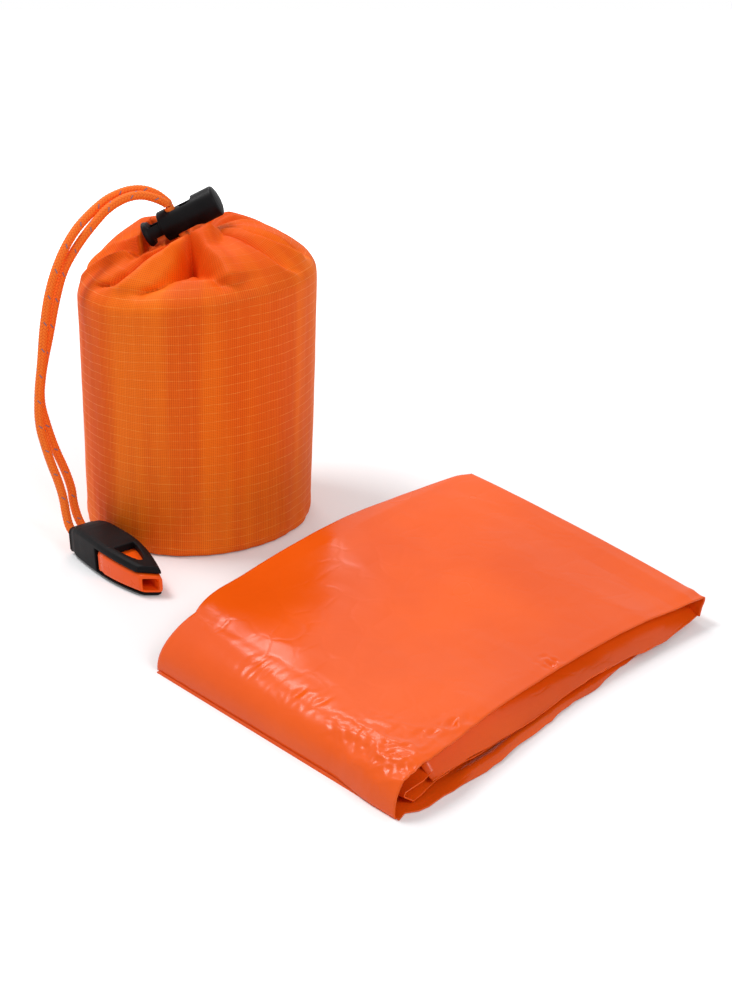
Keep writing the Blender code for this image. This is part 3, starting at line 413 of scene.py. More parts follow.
# Whistle
# Two-piece pealess whistle: a matte black shell with a tail and two prongs, and a glossy orange body
# clipped between them, with the air way, the round chamber and the sound slot moulded into it.
def joined_copy(node_name, name):
    """A copy of a CAD node's mesh with its loose triangles joined."""
    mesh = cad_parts[node_name].data.copy()
    mesh.name = name
    bm = bmesh.new()
    bm.from_mesh(mesh)
    bmesh.ops.remove_doubles(bm, verts=bm.verts[:], dist=0.001 * MM)
    bm.to_mesh(mesh)
    bm.free()
    return mesh


def soften(mesh, name, cell, passes):
    """Remakes a hard-edged solid in small even cells and rounds its edges, as a mould does."""
    helper = bpy.data.objects.new(name + "_hard", mesh)
    scene.collection.objects.link(helper)
    cells = helper.modifiers.new("cells", "REMESH")
    cells.mode = "VOXEL"
    cells.voxel_size = cell
    smooth = helper.modifiers.new("round", "SMOOTH")
    smooth.factor = 0.5
    smooth.iterations = passes
    ready = helper.evaluated_get(bpy.context.evaluated_depsgraph_get())
    made = bpy.data.meshes.new_from_object(ready)
    made.name = name
    bpy.data.objects.remove(helper)
    made.shade_smooth()
    return made


def moulded_black(name, roughness, grain):
    """Black nylon with a fine spark-eroded grain, a little greyer where hands have rubbed it."""
    made, tree, shader = finish_material(name, (0.018, 0.017, 0.018, 1.0), roughness)
    place = node(tree, "TexCoord").outputs["Object"]
    pits = mottle(tree, place, grain, 2.0)
    rubbed = mottle(tree, place, 120.0, 4.0)
    greyer = ramp(tree, rubbed, 0.35, 0.75)
    colour = mix_colours(tree, greyer, (0.004, 0.0035, 0.004, 1.0), (0.009, 0.008, 0.009, 1.0))
    wire(tree, shader.inputs["Base Color"], colour)
    wire(tree, shader.inputs["Roughness"], ramp(tree, rubbed, 0.3, 0.8, roughness - 0.05, roughness + 0.1))
    relief_and_gloss(tree, shader, pits, 0.5, 0.05, 0.11)
    return made


def moulded_orange(name):
    """Glossy orange plastic with faint flow lines and a soft orange-peel surface."""
    made, tree, shader = finish_material(name, (0.95, 0.16, 0.035, 1.0), 0.28)
    place = node(tree, "TexCoord").outputs["Object"]
    flow = mottle(tree, place, 90.0, 3.0, Distortion=1.5)
    peel = mottle(tree, place, 900.0, 1.0)
    colour = mix_colours(tree, flow, (0.95, 0.090, 0.002, 1.0), (0.99, 0.112, 0.005, 1.0))
    wire(tree, shader.inputs["Base Color"], colour)
    wire(tree, shader.inputs["Roughness"], ramp(tree, flow, 0.3, 0.7, 0.24, 0.34))
    relief_and_gloss(tree, shader, peel, 0.15, 0.05, 0.22)
    return made


WHISTLE_CELL = 0.2 * MM
whistle_shell = add_piece(
    "whistle_case", soften(joined_copy("whistle_shell", "shell_copy"), "whistle_case", WHISTLE_CELL, 6),
    moulded_black("whistle_black", 0.55, 3200.0),
)
stand_for("whistle_shell")
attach(whistle_shell, "whistle")
whistle_body = add_piece(
    "whistle_insert", soften(joined_copy("whistle_body", "body_copy"), "whistle_insert", WHISTLE_CELL, 5),
    moulded_orange("whistle_orange"),
)
stand_for("whistle_body")
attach(whistle_body, "whistle")

for (strand, route), node_name in zip(strands, ("drawcord_left", "drawcord_right")):
    stand_for(node_name)
    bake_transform(strand)


# Sack wall
# One panel of orange ripstop nylon, sewn to a tube. It is packed tight, so the roll inside shows as
# upright bands, in its shape and in painted shade, and the drawcord gathers its top over the shoulder
# into deep pleats.
SACK_RADIUS = 39.2
SHOULDER_HEIGHT = 84.5
SACK_LEAN = 0.042
CLOTH_THICKNESS = 0.6
BASE_CORNER = 4.0
BASE_TUCK = 1.6
RIDGE_RADIUS = 17.0
RIDGE_HEIGHT = 104.0
FRONT_ANGLE = radians(-115.0)
FRONT_DROP = 7.0
FRONT_NEARER = 4.0
THROAT_X = 2.4
HEM_RING_RADIUS = 6.4
HEM_TUBE_RADIUS = 2.4
HEM_TILT = radians(20.0)
HEM_HEIGHT = LOCK_MOUTH.z / MM + (THROAT_X - LOCK_MOUTH.x / MM) * tan(LOCK_TILT) - 9.9
LOCK_CLEAR = 5.6
# Folds of the gather: how far the cloth stands up or sinks, how wide the fold is on its left and
# right side as seen from outside, and its line, as degrees round the sack and distance from its centre
FOLDS = (
    (2.4, 7.0, 6.0, ((163, 36.0), (157, 30.0), (152, 22.0))),
    (-2.5, 3.0, 1.6, ((172, 36.0), (173, 28.0), (177, 22.0))),
    (1.8, 1.6, 3.5, ((177, 37.0), (178, 28.4), (191, 22.8))),
    (-1.8, 3.0, 3.0, ((186, 36.0), (190, 30.0), (198, 24.0))),
    (2.6, 3.0, 1.8, ((-170, 38.0), (-159, 31.0), (-149, 26.4), (-135, 22.4), (-127, 17.0))),
    (-5.0, 1.8, 3.2, ((-147, 37.0), (-138, 35.7), (-132, 31.0), (-131, 24.6), (-123, 18.6))),
    (3.4, 5.0, 4.5, ((-124, 36.5), (-119, 31.7), (-113, 26.3), (-104, 18.0))),
    (-4.5, 1.8, 3.0, ((-113, 37.0), (-105, 35.0), (-99, 31.0), (-93, 26.0))),
    (-4.6, 3.6, 3.6, ((-95, 31.5), (-88, 23.0))),
    (-4.6, 3.6, 3.6, ((-80, 32.5), (-84, 23.0))),
    (-2.0, 0.9, 0.9, ((-88, 26.0), (-86, 16.0))),
    (3.6, 2.6, 5.5, ((-67, 35.0), (-68, 28.6), (-75, 21.0), (-80, 16.0))),
    (-3.0, 1.6, 2.0, ((-71, 37.0), (-76, 31.0), (-82, 26.0))),
    (1.6, 5.0, 1.6, ((-29, 38.0), (-37, 35.0), (-41, 27.4), (-42, 19.7))),
    (-2.8, 1.5, 2.6, ((-26, 38.0), (-30, 36.7), (-33, 31.8), (-36, 25.9), (-38, 18.0))),
    (1.8, 3.0, 2.0, ((-12, 36.0), (-21, 29.7), (-26, 22.4), (-24, 17.0))),
    (-3.0, 2.2, 3.2, ((-2, 36.5), (-8, 30.5), (-13, 23.2), (-14, 16.0))),
    (-0.5, 3.6, 3.6, ((8, 36.0), (9, 27.0), (12, 19.3), (15, 15.0))),
    (-2.6, 2.4, 2.4, ((29, 36.5), (33, 28.0), (36, 18.0))),
    (1.0, 3.4, 3.4, ((46, 37.0), (49, 27.0), (52, 18.0))),
    (-3.0, 2.4, 2.4, ((64, 37.5), (65, 27.0), (66, 17.0))),
    (1.0, 3.4, 3.4, ((79, 37.0), (80, 26.0), (82, 18.0))),
    (-3.0, 2.3, 2.3, ((95, 37.5), (96, 28.0), (99, 17.0))),
    (1.0, 3.6, 3.6, ((113, 37.0), (114, 27.0), (115, 18.0))),
    (-2.8, 2.3, 2.3, ((131, 37.0), (129, 28.0), (128, 18.0))),
)


def rumple(points, size, seed):
    """Smooth bumps of about that size, from -1 to 1, at each point."""
    shift = Vector((seed * 7.13, seed * 3.71, seed * 1.93))
    return np.array([noise.noise(Vector(p) / size + shift) for p in points])


def soft_step(value, low, high):
    t = np.clip((value - low) / (high - low), 0.0, 1.0)
    return t * t * (3 - 2 * t)


def wrapped(angle):
    return (angle + pi) % (2 * pi) - pi


def under_lock(points, ridge):
    """Keeps cloth below the cord lock, and draws the gather's ridge up to its lower edge in front."""
    x, y, z = points.T
    along = (x - LOCK_MOUTH.x / MM) / cos(LOCK_TILT)
    beside = (along > -8.5) & (along < 24.0)
    axis = LOCK_MOUTH.z / MM + (x - LOCK_MOUTH.x / MM) * tan(LOCK_TILT)
    drop = np.sqrt(np.maximum(LOCK_CLEAR ** 2 - y * y, 0.0)) / cos(LOCK_TILT)
    z = np.where(beside & (np.abs(y) < LOCK_CLEAR), np.minimum(z, axis - drop), z)
    edge = soft_step(along, -12.0, -7.5) * (1 - soft_step(along, 18.0, 24.0)) * soft_step(-y, 3.0, 6.0)
    limit = axis - LOCK_CLEAR / cos(LOCK_TILT) + 0.5 + 0.2 * np.maximum(-y - 5.0, 0.0)
    drawn_up = (limit - z) * ridge * (1 - 0.6 * soft_step(limit - z, 7.0, 12.0))
    points[:, 2] = z + edge * np.where(z > limit, 0.9 * (limit - z), drawn_up)
    return points


def hem_tube_radius(angle):
    return HEM_TUBE_RADIUS + 0.2 * np.cos(11 * angle)


def hem_spot(angle, radius, lift):
    """A place near the hem ring, which is tilted like the lock above it."""
    x = radius * np.cos(angle)
    y = radius * np.sin(angle)
    turned_x = x * cos(HEM_TILT) - lift * sin(HEM_TILT)
    turned_z = x * sin(HEM_TILT) + lift * cos(HEM_TILT)
    return np.stack((THROAT_X + turned_x, y, HEM_HEIGHT + turned_z), axis=1)


BASE_ROWS = 6
WALL_ROWS = 36
DOME_ROWS = 44
THROAT_ROWS = 14
WALL_COLUMNS = 336
wall_row_count = BASE_ROWS + WALL_ROWS + DOME_ROWS + THROAT_ROWS


def gather_folds(angle, radius):
    """How far the folds lift the cloth at each place."""
    lift = np.zeros_like(angle)
    for height, left_width, right_width, line in FOLDS:
        spots = sorted((r, radians(a)) for a, r in line)
        radii = [s[0] for s in spots]
        middle = np.interp(radius, radii, [s[1] for s in spots])
        across = wrapped(angle - middle) * np.maximum(radius, 9.0)
        width = np.where(across < 0, left_width, right_width) * np.clip(radius / 27.0, 0.5, 1.2)
        shown = 1 - soft_step(radius, radii[-1] - 1.0, radii[-1] + 2.0)
        shown = shown * soft_step(radius, radii[0] - 9.0, radii[0])
        lift += height * shown * np.exp(-np.abs(across / width) ** 1.5)
    return lift


def wall_place(u, v):
    row = np.rint(v * wall_row_count)
    angle = 2 * pi * u
    right = 0.5 + 0.5 * np.cos(angle)
    shoulder = SHOULDER_HEIGHT - 4.5 + 6.0 * right
    roundness = 2.15 - 0.70 * right
    ridge_height = RIDGE_HEIGHT - 1.2 * right
    base = np.clip(row / BASE_ROWS, 0.0, 1.0)
    climb = np.clip((row - BASE_ROWS) / WALL_ROWS, 0.0, 1.0)
    gather = np.clip((row - BASE_ROWS - WALL_ROWS) / DOME_ROWS, 0.0, 1.0)
    inward = np.clip((row - BASE_ROWS - WALL_ROWS - DOME_ROWS) / THROAT_ROWS, 0.0, 1.0)
    turn = gather * pi / 2

    radius = SACK_RADIUS - BASE_TUCK * (1 - np.sin(base * pi / 2) ** 0.7)
    height = 0.3 + (BASE_CORNER - 0.3) * (1 - np.cos(base * pi / 2))
    height = np.where(row > BASE_ROWS, BASE_CORNER + (shoulder - BASE_CORNER) * climb, height)
    dome_radius = RIDGE_RADIUS + (SACK_RADIUS - RIDGE_RADIUS) * np.cos(turn) ** roundness
    radius = np.where(gather > 0, dome_radius, radius)
    height = np.where(gather > 0, shoulder + (ridge_height - shoulder) * np.sin(turn), height)

    front = gather * (0.5 + 0.5 * np.cos(angle - FRONT_ANGLE)) ** 2
    spots = np.stack((SACK_RADIUS * np.cos(angle), SACK_RADIUS * np.sin(angle), height), axis=1)
    swell = 0.35 * rumple(spots / (1.0, 1.0, 6.0), 9.0, 1) + 0.16 * rumple(spots / (1.0, 1.0, 2.5), 3.2, 2)
    tucks = 0.5 * rumple(spots, 4.5, 3) * (1 - soft_step(height, 3.0, 14.0))
    folds = gather_folds(angle, radius) * soft_step(gather, 0.0, 0.35)
    small = rumple(np.stack((np.cos(angle) * 9, np.sin(angle) * 9, radius / 16), axis=1), 1.0, 4)
    small = small * 0.45 * soft_step(gather, 0.05, 0.6)
    lift = (swell + tucks) * (1 - gather) + folds + small - 1.0 * soft_step(gather, 0.0, 0.4)

    radius = radius - FRONT_NEARER * front + lift * np.cos(turn)
    height = height - FRONT_DROP * front + lift * np.sin(turn)
    centre = SACK_LEAN * np.minimum(height, SHOULDER_HEIGHT)
    x = centre + (THROAT_X - centre) * gather * gather + radius * np.cos(angle)
    y = radius * np.sin(angle)
    points = np.stack((x, y, height), axis=1)

    reach = hem_tube_radius(angle) + 0.6
    edge = hem_spot(angle, HEM_RING_RADIUS + reach * cos(radians(30.0)), reach * sin(radians(30.0)))
    bunched = points + (edge - points) * inward[:, None]
    ruffle = 0.35 * np.sin(19 * angle + 2 * np.sin(3 * angle)) * np.sin(pi * inward) ** 0.6
    bunched[:, 2] += (points[:, 2] - edge[:, 2]) * 0.25 * np.sin(pi * inward) ** 0.8 + ruffle * (1 - inward)
    points = np.where((inward > 0)[:, None], bunched, points)
    points = under_lock(points, soft_step(gather, 0.72, 1.0) * (1 - soft_step(inward, 0.15, 0.6)))
    points[:, 2] = np.maximum(points[:, 2], 0.3)
    return points * MM


def wall_cut(u, v):
    """Place on the flat panel: round the sack, and up it."""
    row = v * wall_row_count
    up = np.interp(
        row, np.cumsum((0, BASE_ROWS, WALL_ROWS, DOME_ROWS, THROAT_ROWS)), (0.0, 4.3, 84.6, 116.0, 126.0)
    )
    return u * 2 * pi * SACK_RADIUS * MM, up * MM


def thread_lines(tree, place, spacing, width):
    """Thin bright lines at an even spacing."""
    share = calculate(tree, "FRACT", calculate(tree, "DIVIDE", place, spacing))
    away = calculate(tree, "ABSOLUTE", calculate(tree, "SUBTRACT", share, 0.5))
    return ramp(tree, away, 0.3 * width / spacing, width / spacing, 1.0, 0.0)


def stripes(tree, place, spacing):
    """Fine rounded ribs, from 0 to 1."""
    wave = calculate(tree, "SINE", times(tree, place, 2 * pi / spacing))
    return calculate(tree, "MULTIPLY_ADD", wave, 0.5, 0.5)


GRID_UP = 0.00295
GRID_ROUND = 0.0037


def ripstop(name, band_shade_depth):
    """Orange nylon with a bright ripstop grid, a fine upright weave, painted shade in upright bands where
    the roll shows through, and painted shade in the gathered top.
    """
    made, tree, shader = finish_material(name, (0.74, 0.125, 0.014, 1.0), 0.6)
    gathered = node(tree, "Attribute", {"attribute_name": "gathered"}).outputs["Fac"]
    plain_share = ramp(tree, gathered, 0.02, 0.45, 1.0, 0.2)
    cut = flat_spot(tree)
    spot = node(tree, "SeparateXYZ", Vector=cut)
    across, up = spot.outputs["X"], spot.outputs["Y"]
    wander = mottle(tree, cut, 60.0, 2.0)
    up_bent = calculate(tree, "MULTIPLY_ADD", wander, 0.0016, up)
    weft = thread_lines(tree, up_bent, GRID_UP, 0.00016)
    warp = thread_lines(tree, across, GRID_ROUND, 0.0002)
    ribs = stripes(tree, across, 0.00068)
    picks = stripes(tree, up, 0.00054)
    # Painted shade: darker and lighter upright bands, for the roll's shadow showing through the thin cloth
    stretched = node(tree, "Mapping", {"vector_type": "POINT"}, Vector=cut, Scale=(1.0, 0.07, 1.0))
    bands = mottle(tree, stretched.outputs["Vector"], 70.0, 3.0, Roughness=0.45)
    patchy = mottle(tree, cut, 350.0, 3.0)
    colour = mix_colours(
        tree, ramp(tree, bands, 0.36, 0.64, 0.5 - band_shade_depth, 0.5 + band_shade_depth),
        (0.80, 0.090, 0.001, 1.0), (0.99, 0.184, 0.003, 1.0),
    )
    # Painted shade: the gathered top is mixed towards a deeper red for the shade in its folds
    colour = mix_colours(tree, ramp(tree, gathered, 0.3, 0.9, 0.0, 0.35), colour, (0.93, 0.070, 0.001, 1.0))
    rib_share = times(tree, ribs, times(tree, plain_share, 0.34))
    colour = mix_colours(tree, rib_share, colour, (0.95, 0.225, 0.015, 1.0))
    holes = times(tree, calculate(tree, "SUBTRACT", 1.0, ribs), picks)
    colour = mix_colours(tree, times(tree, holes, 0.45), colour, (0.42, 0.038, 0.001, 1.0))
    broken = times(tree, ramp(tree, patchy, 0.35, 0.6, 0.25, 1.0), plain_share)
    dotted = times(tree, weft, calculate(tree, "MULTIPLY_ADD", ribs, 0.6, 0.4))
    weft_share = times(tree, times(tree, dotted, broken), 0.68)
    colour = mix_colours(tree, weft_share, colour, (1.0, 0.36, 0.06, 1.0))
    warp_share = times(tree, times(tree, warp, broken), 0.15)
    colour = mix_colours(tree, warp_share, colour, (1.0, 0.34, 0.06, 1.0))
    wire(tree, shader.inputs["Base Color"], colour)
    relief = calculate(tree, "ADD", times(tree, ribs, 0.5), weft)
    relief = calculate(tree, "ADD", relief, times(tree, warp, 0.6))
    wire(tree, shader.inputs["Roughness"], ramp(tree, weft, 0.0, 1.0, 0.62, 0.45))
    relief_and_gloss(tree, shader, relief, 0.35, 0.12, 0.15)
    return made


def sheet_piece(mesh, material, thickness, offset=-1.0):
    """A sheet of cloth or film with its seams closed and its thickness."""
    close_seams(mesh)
    piece = add_piece(mesh.name, mesh, material)
    shell = piece.modifiers.new("thickness", "SOLIDIFY")
    shell.thickness = thickness
    shell.offset = offset
    shell.use_quality_normals = True
    return piece


nylon = ripstop("ripstop_nylon", 0.42)
wall_mesh = cloth_grid("sack_cloth", WALL_COLUMNS, wall_row_count, wall_place, wall_cut)
wall_rows = np.repeat(np.arange(wall_row_count + 1), WALL_COLUMNS + 1)
# How far into the gathered top, which the nylon reads for its weaker grid and its painted shade
paint(wall_mesh, "gathered", np.clip((wall_rows - BASE_ROWS - WALL_ROWS) / DOME_ROWS, 0.0, 1.0))
sack_cloth = sheet_piece(wall_mesh, nylon, CLOTH_THICKNESS * MM)
stand_for("sack_wall")
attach(sack_cloth, "sack")


# Sack base, side seam and hem
# The round bottom panel and the wall's two sewn edges are plain nylon. The hem is the wall's upper
# edge, turned over into a channel for the cord and open at one place, where the cord comes out.
def plain_weave(name, colour, deep):
    """Nylon with an even weave of fine threads."""
    made, tree, shader = finish_material(name, colour, 0.6)
    cut = flat_spot(tree)
    spot = node(tree, "SeparateXYZ", Vector=cut)
    ribs = stripes(tree, spot.outputs["X"], 0.0006)
    picks = stripes(tree, spot.outputs["Y"], 0.0006)
    worn = mottle(tree, cut, 160.0, 4.0)
    weave = times(tree, ribs, picks)
    shade = mix_colours(tree, ramp(tree, worn, 0.3, 0.7), deep, colour)
    threads = times(tree, weave, 0.35)
    wire(tree, shader.inputs["Base Color"], mix_colours(tree, threads, shade, colour))
    relief_and_gloss(tree, shader, weave, 0.4, 0.1, 0.15)
    return made


plain_nylon = plain_weave("plain_nylon", (0.80, 0.12, 0.004, 1.0), (0.60, 0.055, 0.001, 1.0))
BASE_RADIUS = 36.7
SEAM_RADIUS = 37.95
SEAM_WIDTH = 8.0
SEAM_START = 5.0
SEAM_LENGTH = 69.5


def base_place(u, v):
    radius = BASE_RADIUS * v
    angle = 2 * pi * u
    height = 0.75 - 0.25 * np.cos(8 * angle) * soft_step(v, 0.8, 1.0) * 0.3
    return np.stack((radius * np.cos(angle), radius * np.sin(angle), height), axis=1) * MM


def base_cut(u, v):
    angle = 2 * pi * u
    return BASE_RADIUS * MM * v * np.cos(angle), BASE_RADIUS * MM * v * np.sin(angle)


base_mesh = cloth_grid("bottom_panel", 96, 16, base_place, base_cut)
bottom_panel = sheet_piece(base_mesh, plain_nylon, 0.6 * MM)
stand_for("sack_base")
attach(bottom_panel, "sack")


def seam_place(u, v):
    angle = pi / 2 + (u - 0.5) * SEAM_WIDTH / SEAM_RADIUS
    height = SEAM_START + SEAM_LENGTH * v
    radius = SEAM_RADIUS - 0.15 - 0.12 * np.sin(height * 2.1) * np.abs(2 * u - 1)
    x = radius * np.cos(angle) + SACK_LEAN * height
    return np.stack((x, radius * np.sin(angle), height), axis=1) * MM


seam_mesh = cloth_grid(
    "sewn_edges", 8, 90, seam_place, lambda u, v: (u * SEAM_WIDTH * MM, v * SEAM_LENGTH * MM)
)
sewn_edges = sheet_piece(seam_mesh, plain_nylon, 0.5 * MM)
stand_for("side_seam")
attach(sewn_edges, "sack")

HEM_OPENING = radians(43.0)


def hem_place(u, v):
    angle = -pi + HEM_OPENING + 2 * (pi - HEM_OPENING) * u
    turn = 2 * pi * v
    radius = hem_tube_radius(angle) + 0.12 * np.sin(34 * angle + 3 * turn)
    return hem_spot(angle, HEM_RING_RADIUS + radius * np.cos(turn), radius * np.sin(turn)) * MM


hem_mesh = cloth_grid("gathered_hem", 220, 28, hem_place, lambda u, v: (u * 0.20, v * 0.016))
gathered_hem = sheet_piece(hem_mesh, plain_nylon, 0.45 * MM)
stand_for("cord_channel")
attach(gathered_hem, "sack")

ring_route = []
below = 6.8 * MM
lock_side = (CORD_IN_LOCK_DIAMETER + 0.3 * MM) / 2
for up in (5.0 * MM, 0.0, -5.0 * MM, -below):
    ring_route.append(lock_axis @ Vector((CORD_IN_LOCK, -lock_side, up)))
for k in range(23):
    angle = pi + radians(21.0) + (2 * pi - radians(42.0)) * k / 22
    spot = hem_spot(np.array([angle]), HEM_RING_RADIUS, 0.0)[0]
    ring_route.append(Vector(spot) * MM)
for up in (-below, -5.0 * MM, 0.0, 5.0 * MM):
    ring_route.append(lock_axis @ Vector((CORD_IN_LOCK, lock_side, up)))
thin = CORD_IN_LOCK_DIAMETER / 2
ring_radii = [thin] * 4 + [CORD_DIAMETER / 2] * (len(ring_route) - 8) + [thin] * 4
hidden_mesh = cord_mesh("cord_in_hem", ring_route, ring_radii, 0.4 * MM, 32, BRAID_RELIEF * 0.6)
hidden_cord = add_piece("cord_in_hem", hidden_mesh, cord_finish)
stand_for("drawcord_in_channel")
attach(hidden_cord, "sack")


# Rolled sleeping bag
# A strip of folded orange film, wound up from its inner end. It stands in for many thin layers and
# fills the sack.
ROLL_CORE = 3.0
ROLL_PITCH = 3.8
ROLL_LAYER = 3.2
ROLL_RADIUS = 37.1
ROLL_TURNS = (ROLL_RADIUS - ROLL_LAYER - ROLL_CORE) / ROLL_PITCH
ROLL_BOTTOM = 1.2
ROLL_TOP = 80.0
ROLL_CROWN = 7.0
roll_steps = int(ROLL_TURNS * 36)


def roll_place(u, v):
    """Along the strip by u, and round the folded strip's cross-section by v."""
    turn = u * ROLL_TURNS
    angle = 2 * pi * turn
    top = ROLL_TOP + ROLL_CROWN * (1 - u)
    profile = 4 * v
    side = np.floor(np.minimum(profile, 3.999))
    share = profile - side
    up = np.choose(side.astype(int), (share, np.ones_like(share), 1 - share, np.zeros_like(share)))
    over = np.choose(side.astype(int), (np.zeros_like(share), share, np.ones_like(share), 1 - share))
    pinch = 1.2 * soft_step(np.abs(2 * up - 1), 0.96, 1.0)
    radius = ROLL_CORE + ROLL_PITCH * turn + ROLL_LAYER / 2 + (over - 0.5) * (ROLL_LAYER - pinch)
    height = ROLL_BOTTOM + (top - ROLL_BOTTOM) * up
    wobble = 0.12 * np.sin(7 * angle + height * 0.35)
    x = (radius + wobble) * np.cos(angle) + SACK_LEAN * height
    y = (radius + wobble) * np.sin(angle)
    return np.stack((x, y, height), axis=1) * MM


def crinkled_film(name, colour, deep, crinkle):
    """Thin glossy film with soft dents, sharp little creases and a faint haze."""
    made, tree, shader = finish_material(name, colour, 0.22)
    cut = flat_spot(tree)
    dents = mottle(tree, cut, 45.0, 3.0, Roughness=0.5)
    bent = node(tree, "TexNoise", Vector=cut, Scale=110.0, Detail=2.0)
    shifted = node(tree, "VectorMath", {"operation": "MULTIPLY_ADD"})
    wire(tree, shifted.inputs[0], bent.outputs["Color"])
    wire(tree, shifted.inputs[1], (0.006, 0.006, 0.0))
    wire(tree, shifted.inputs[2], cut)
    cells = node(
        tree, "TexVoronoi", {"feature": "DISTANCE_TO_EDGE"}, Vector=shifted.outputs["Vector"], Scale=120.0
    )
    creases = ramp(tree, cells.outputs["Distance"], 0.0, 0.14)
    haze = mottle(tree, cut, 14.0, 4.0)
    wire(tree, shader.inputs["Base Color"], mix_colours(tree, ramp(tree, haze, 0.35, 0.68), deep, colour))
    wire(tree, shader.inputs["Roughness"], ramp(tree, haze, 0.3, 0.75, 0.17, 0.30))
    relief = calculate(tree, "MULTIPLY_ADD", creases, crinkle, dents)
    relief_and_gloss(tree, shader, relief, 0.12, 0.6, 0.25)
    return made


packed_film = crinkled_film("packed_film", (0.85, 0.11, 0.010, 1.0), (0.60, 0.060, 0.004, 1.0), 0.25)
roll_mesh = cloth_grid(
    "rolled_film", roll_steps, 48, roll_place, lambda u, v: (u * 0.95, v * 0.166)
)
close_seams(roll_mesh, caps=True)
rolled_film = add_piece("rolled_film", roll_mesh, packed_film)
stand_for("rolled_bag")
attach(rolled_film, "sack")


# Cord lock
# Moulded barrel with an oval hole through it, a slotted plunger that slides in its mouth, and a
# steel coil spring behind the plunger, which clamps the two strands against the hole's end.
def turned_about_x(profile, steps):
    """A solid turned about the X axis, from (along, radius) points in millimetres."""
    bm = bmesh.new()
    verts = [bm.verts.new((along * MM, 0.0, radius * MM)) for along, radius in profile]
    edges = [bm.edges.new(pair) for pair in zip(verts, verts[1:])]
    bmesh.ops.spin(
        bm, geom=verts + edges, cent=(0, 0, 0), axis=(1, 0, 0), angle=2 * pi, steps=steps, use_merge=True
    )
    bmesh.ops.remove_doubles(bm, verts=bm.verts[:], dist=0.001 * MM)
    bmesh.ops.recalc_face_normals(bm, faces=bm.faces[:])
    return bm


def slot_bmesh(start, end, half_width, half_height, corner):
    """An upright bar with rounded upright edges, in millimetres."""
    bm = bmesh.new()
    bmesh.ops.create_cube(bm, size=1.0)
    size = ((end - start) * MM, 2 * half_width * MM, 2 * half_height * MM)
    bmesh.ops.scale(bm, vec=size, verts=bm.verts[:])
    bmesh.ops.translate(bm, vec=((start + end) / 2 * MM, 0, 0), verts=bm.verts[:])
    upright = [e for e in bm.edges if abs(e.verts[0].co.z - e.verts[1].co.z) > half_height * MM]
    bmesh.ops.bevel(
        bm, geom=upright, offset=corner * MM, segments=6, profile=0.5, affect="EDGES", material=-1
    )
    return bm


def cut_away(bm, cutter_bm, name):
    """The solid without the cutter's shape."""
    meshes = []
    for part, kind in ((bm, "_solid"), (cutter_bm, "_cutter")):
        mesh = bpy.data.meshes.new(name + kind)
        part.to_mesh(mesh)
        part.free()
        meshes.append(mesh)
    solid, tool = (bpy.data.objects.new(m.name, m) for m in meshes)
    scene.collection.objects.link(solid)
    scene.collection.objects.link(tool)
    cut = solid.modifiers.new("cut", "BOOLEAN")
    cut.object = tool
    cut.solver = "EXACT"
    made = bpy.data.meshes.new_from_object(solid.evaluated_get(bpy.context.evaluated_depsgraph_get()))
    bpy.data.objects.remove(solid)
    bpy.data.objects.remove(tool)
    return made


BARREL_PROFILE = (
    (0.0, 4.0), (0.0, 4.6), (0.15, 4.9), (0.5, 5.0), (19.4, 5.0), (19.8, 4.85), (20.1, 4.4),
    (20.5, 3.2), (20.8, 1.6), (20.9, 0.0),
)
BARREL_INSIDE = ((18.6, 0.0), (18.6, 4.0), (0.0, 4.0))
PLUNGER_PROFILE = (
    (-6.3, 0.0), (-6.3, 3.7), (-6.1, 4.05), (-5.7, 4.2), (-5.2, 4.1), (-4.7, 3.8),
    (7.5, 3.8), (7.9, 3.4), (7.9, 0.0),
)
SLOT_HALF_WIDTH = 3.05
CUTTER_HALF_HEIGHT = 7.0
LOCK_CELL = 0.16 * MM
lock_black = moulded_black("lock_black", 0.42, 2600.0)
barrel_hole = slot_bmesh(3.2, 12.6, SLOT_HALF_WIDTH, CUTTER_HALF_HEIGHT, 1.6)
barrel_solid = cut_away(turned_about_x((*BARREL_PROFILE, *BARREL_INSIDE), 96), barrel_hole, "barrel")
barrel_solid.transform(lock_axis)
barrel = add_piece("lock_barrel", soften(barrel_solid, "lock_barrel", LOCK_CELL, 4), lock_black)
stand_for("cord_lock_barrel")
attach(barrel, "sack")
plunger_slot = slot_bmesh(-4.2, 6.4, SLOT_HALF_WIDTH, CUTTER_HALF_HEIGHT, 0.4)
plunger_solid = cut_away(turned_about_x(PLUNGER_PROFILE, 96), plunger_slot, "plunger")
plunger_solid.transform(lock_axis)
plunger = add_piece("lock_plunger", soften(plunger_solid, "lock_plunger", LOCK_CELL, 4), lock_black)
stand_for("cord_lock_plunger")
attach(plunger, "plunger")

SPRING_START = 8.5
SPRING_END = 18.0
SPRING_RADIUS = 2.9
SPRING_WIRE = 0.6 * MM
SPRING_TURNS = 6
TURN_STEPS = 16
spring_steps = SPRING_TURNS * TURN_STEPS
spring_points = []
for k in range(spring_steps + 1):
    turn = 2 * pi * k / TURN_STEPS
    along = SPRING_START + (SPRING_END - SPRING_START) * k / spring_steps
    spring_points.append(
        lock_axis @ (Vector((along, SPRING_RADIUS * sin(turn), SPRING_RADIUS * cos(turn))) * MM)
    )
steel, steel_tree, steel_shader = finish_material("spring_steel", (0.72, 0.72, 0.74, 1.0), 0.22)
steel_shader.inputs["Metallic"].default_value = 1.0
drawn = mottle(steel_tree, flat_spot(steel_tree), 1500.0, 3.0)
wire(steel_tree, steel_shader.inputs["Roughness"], ramp(steel_tree, drawn, 0.3, 0.7, 0.16, 0.32))
spring_mesh = cord_mesh(
    "lock_spring", spring_points, [SPRING_WIRE / 2] * len(spring_points), 0.25 * MM, 10
)
spring = add_piece("lock_spring", spring_mesh, steel)
stand_for("cord_lock_spring")
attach(spring, "sack")
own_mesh(spring)


